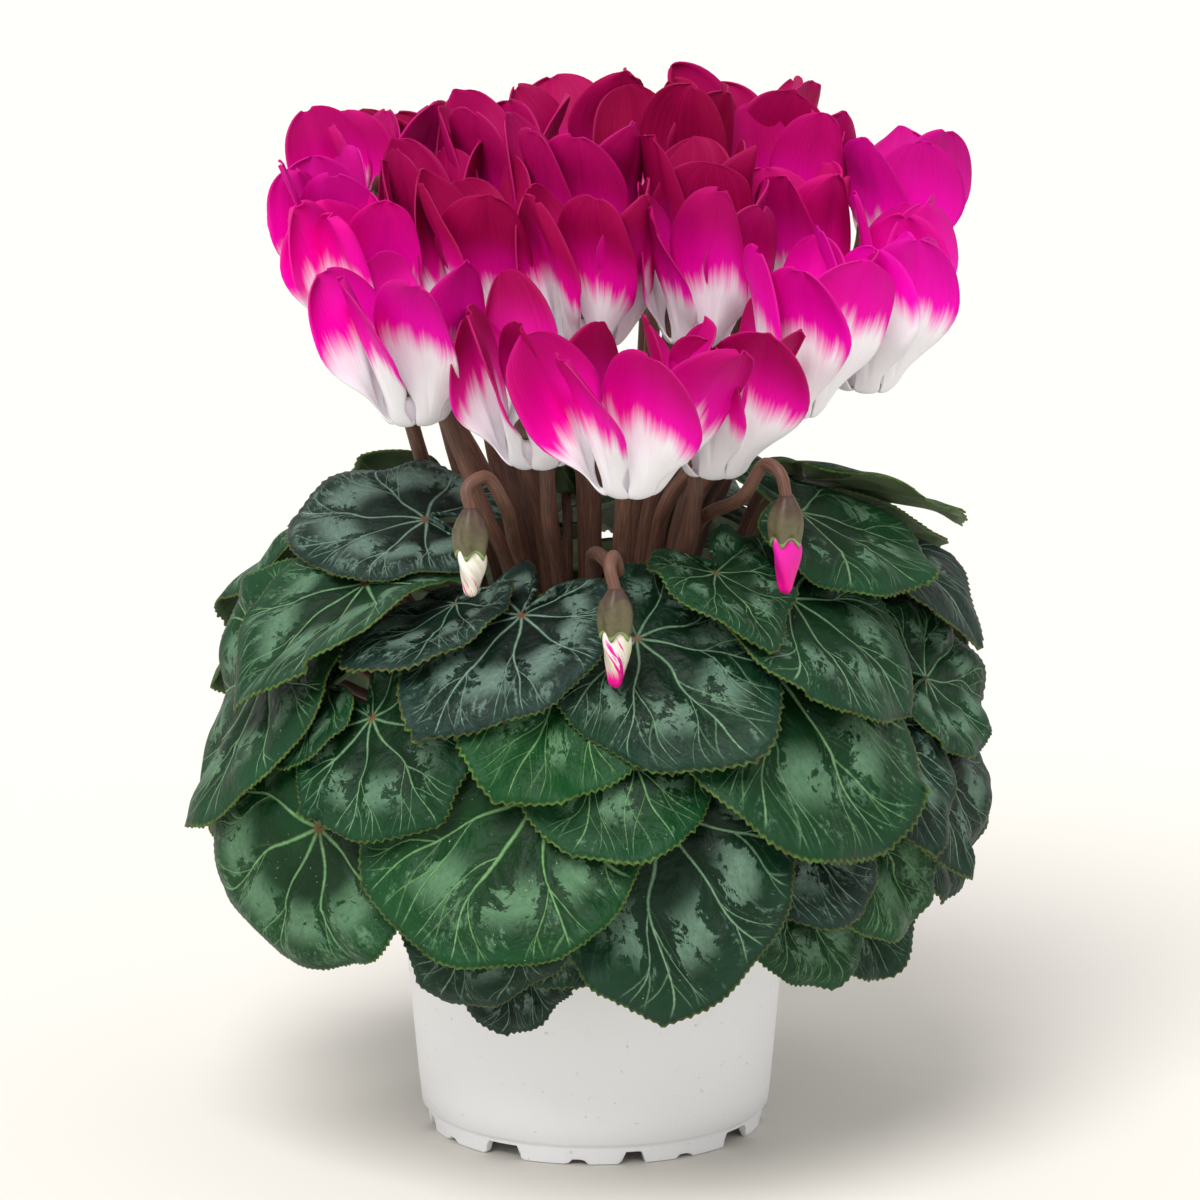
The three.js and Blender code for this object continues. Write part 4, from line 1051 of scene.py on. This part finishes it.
def leafBlade(mesh, index):
    leaf = leaves[index]
    size = leaf["size"]
    columns = 2 * round(size * blade["teethPerMillimetre"] * 2) + 1
    own = random.uniform(-1, 1, 12)
    teeth = blade["tooth"] * (0.5 + random.random(columns)) / size
    point = 0.62 + 0.36 * own[0]
    bright = float(np.clip(0.34 + 0.42 * own[1] + 0.25 * own[2], 0, 1))
    mark = (random.random(), float(own[3]), bright)

    def outline(angle):
        share = np.abs(angle) / np.pi
        sharp = 0.5 * (1 - share) ** 4.2 + 0.5 * (1 - share) ** 10
        tip = (1 - point) * ((1 + np.cos(angle)) / 2) ** 2.2 + point * sharp
        notch = 0.25 * share ** 7 + 0.36 * smooth(0.8, 0.965, share)
        waves = 0.014 * np.sin(11 * angle + 3 * own[4]) + 0.012 * np.sin(6 * angle + 3 * own[5])
        return size * (0.645 + 0.36 * tip - notch) * (1 + waves * smooth(0, 0.2, share))

    def polar(along, across):
        angle = np.radians(174) * across
        column = stepOf((across + 1) / 2, columns)
        edge = np.where(along > 0.999, 1 + teeth[column] * (column % 2) * 1.6, 0.995)
        reach = along ** 0.85 * outline(angle) * edge
        return reach * np.cos(angle), reach * np.sin(angle), angle, column

    # curved veins: the map bends while the veins in it stay straight
    def bent(a, b):
        u = a / size
        v = b / size
        grow = smooth(0, 0.45, np.hypot(u, v))
        du = 0.045 * np.sin(5.1 * v + 2 * u + 3 * own[6]) + 0.02 * np.sin(13 * u + 9 * v + 3 * own[7])
        dv = 0.045 * np.sin(4.7 * u - 1.5 * v + 3 * own[8]) + 0.02 * np.sin(12 * u - 10 * v + 3 * own[9])
        return u + du * grow, v + dv * grow

    def relief(along, a, b, angle):
        u, v = bent(a, b)
        turned = np.arctan2(v, u)
        off = turned - np.round(turned / blade["sector"]) * blade["sector"]
        aside = np.hypot(u, v) * np.sin(off) * size
        inner = smooth(0.12, 0.4, along)
        quilt = blade["quilt"] * inner * np.sin(np.pi * off / blade["sector"]) ** 2
        quilt = quilt * (1 - 0.5 * smooth(0.85, 1, along))
        groove = -blade["groove"] * inner * np.exp(-(aside / 1.1) ** 2)
        waves = along ** 2 * blade["wave"] * np.sin((3 + round(own[10])) * angle + 3 * own[11])
        frill = along ** 4 * blade["frill"] * np.sin(8 * angle + 9 * own[4])
        lifted = (blade["lift"] + 2 * own[7]) * smooth(0.35, 1, along) + (0.1 + 0.14 * own[2]) * np.abs(b)
        curl = (1.2 - 2.6 * own[8]) * smooth(0.5, 1, a / size)
        rolled = -(blade["roll"] + own[9]) * smooth(0.8, 1, along)
        lifted = lifted + leaf["raised"] * smooth(0, 0.45, -a / size)
        return quilt + groove + inner * (waves + frill + lifted + curl + rolled)

    def form(along, across):
        a, b, angle, column = polar(along, across)
        upward, downward = roomAround(index, a, b)
        moved = np.clip(relief(along, a, b, angle), -np.maximum(downward, 0), np.maximum(upward, 0))
        row = stepOf(along, blade["rows"])
        sheet = np.zeros((blade["rows"], columns))
        sheet[row, column] = moved
        for again in range(2):
            wide = np.pad(sheet, 1, mode="edge")
            sheet = (2 * sheet + wide[1:-1, :-2] + wide[1:-1, 2:]) / 4
            sheet[1:-1] = (sheet[:-2] + 4 * sheet[1:-1] + sheet[2:]) / 6
        return bladePoint(leaf, a, b, sheet[row, column])

    def place(along, across):
        u, v = bent(*polar(along, across)[:2])
        return np.stack([u, v, along ** 0.85], axis=1)

    addGrid(mesh, columns, blade["rows"], form, place, mark, 1e-7)


def petiolePath(leaf, lane, second, mates):
    end = bladePoint(leaf, *leaf["joint"])
    direction = unit(end - dome["centre"])
    start = math.radians(lane)
    towards = math.atan2(direction[0], -direction[1])
    turnBy = math.atan2(math.sin(towards - start), math.cos(towards - start))

    level = math.hypot(direction[0], direction[1])
    archHeight = max(dome["centre"][2] + 40 * direction[2], pot["height"] + 9.5)
    foot = corm["top"] + 0.3
    rise = [aboutAxis(start, 25, foot), aboutAxis(start, 25.3, foot + 5)]
    if second:
        rise = [aboutAxis(start, 25, foot + 3), aboutAxis(start, 27.5, foot + 9)]
    for bow in (0.55, 0.4, 0.7, 0.25, 0.85, 1):
        arch = aboutAxis(start + bow * turnBy, 12 + 48 * level, archHeight)
        for square, plumb in ((6, 4), (4, 6), (2, 8), (0, 10), (9, 1), (-2, 12)):
            under = end - leaf["normal"] * square - direction * plumb
            path = [*rise, arch, under, end]
            if clearOf(path, blade["stalkMargin"], mates):
                return path
    return [*rise, aboutAxis(start + 0.55 * turnBy, 12 + 48 * level, archHeight), end]


def makeLeaves():
    face = leafMaterial()
    back = undersideMaterial()
    for bunch in range(bunchCount):
        mates = [i for i, leaf in enumerate(leaves) if leaf["bunch"] == bunch]
        lane = leaves[0]["azimuth"] + 360 * bunch / bunchCount
        name = "leaf_bunch_%02d" % (bunch + 1)
        mesh = newMesh()
        stems = newMesh()
        for i in mates:
            leafBlade(mesh, i)
            line = bowedLine(petiolePath(leaves[i], lane, i != mates[0], mates), 28)
            addTube(stems, line, blade["stalkRadius"] * (1.15 - 0.25 * np.linspace(0, 1, len(line))), 8)
        finishPiece(name + "_blades", mesh, [face, back], name, blade["thickness"])
        finishPiece(name + "_stalks", stems, [stemBrown], name)


makeLeaves()
print("leaves made")


# floor, light and camera, in metres and degrees; the camera looks at aim, above the pot's foot
studio = {"floor": 6, "colour": (0.79, 0.756, 0.702, 1), "world": 0.74, "sun": 2.55, "softness": 34,
          "sunTurn": (36, -8, -12), "distance": 1.9, "elevation": 12, "lens": 185.25,
          "aim": (0.0015, 0.1654)}


def makeStudio():
    mesh = bmesh.new()
    bmesh.ops.create_grid(mesh, x_segments=1, y_segments=1, size=studio["floor"])
    bmesh.ops.translate(mesh, verts=mesh.verts, vec=(0, 2, 0))
    made = newMaterial("paleFloor", Base_Color=studio["colour"], Roughness=0.9, Specular_IOR_Level=0.1)[0]
    linkMesh("floor", mesh, [made])
    world = bpy.data.worlds.new("studio")
    bpy.context.scene.world = world
    world.use_nodes = True
    background = world.node_tree.nodes["Background"]
    background.inputs["Color"].default_value = (1, 1, 1, 1)
    background.inputs["Strength"].default_value = studio["world"]
    sun = bpy.data.lights.new("key", "SUN")
    sun.energy = studio["sun"]
    sun.angle = math.radians(studio["softness"])
    lamp = link("key", sun)
    lamp.rotation_euler = [math.radians(angle) for angle in studio["sunTurn"]]
    camera = bpy.data.cameras.new("camera")
    camera.lens = studio["lens"]
    camera.sensor_width = 36
    camera.clip_end = 50
    holder = link("camera", camera)
    tilt = math.radians(studio["elevation"])
    target = Vector((potAxis[0] + studio["aim"][0], potAxis[1], studio["aim"][1]))
    back = Vector((0, -math.cos(tilt), math.sin(tilt)))
    holder.location = target + back * studio["distance"]
    holder.rotation_euler = (-back).to_track_quat("-Z", "Y").to_euler()
    bpy.context.scene.camera = holder
    bpy.context.scene.view_settings.view_transform = "Standard"


makeStudio()
print("scene ready")
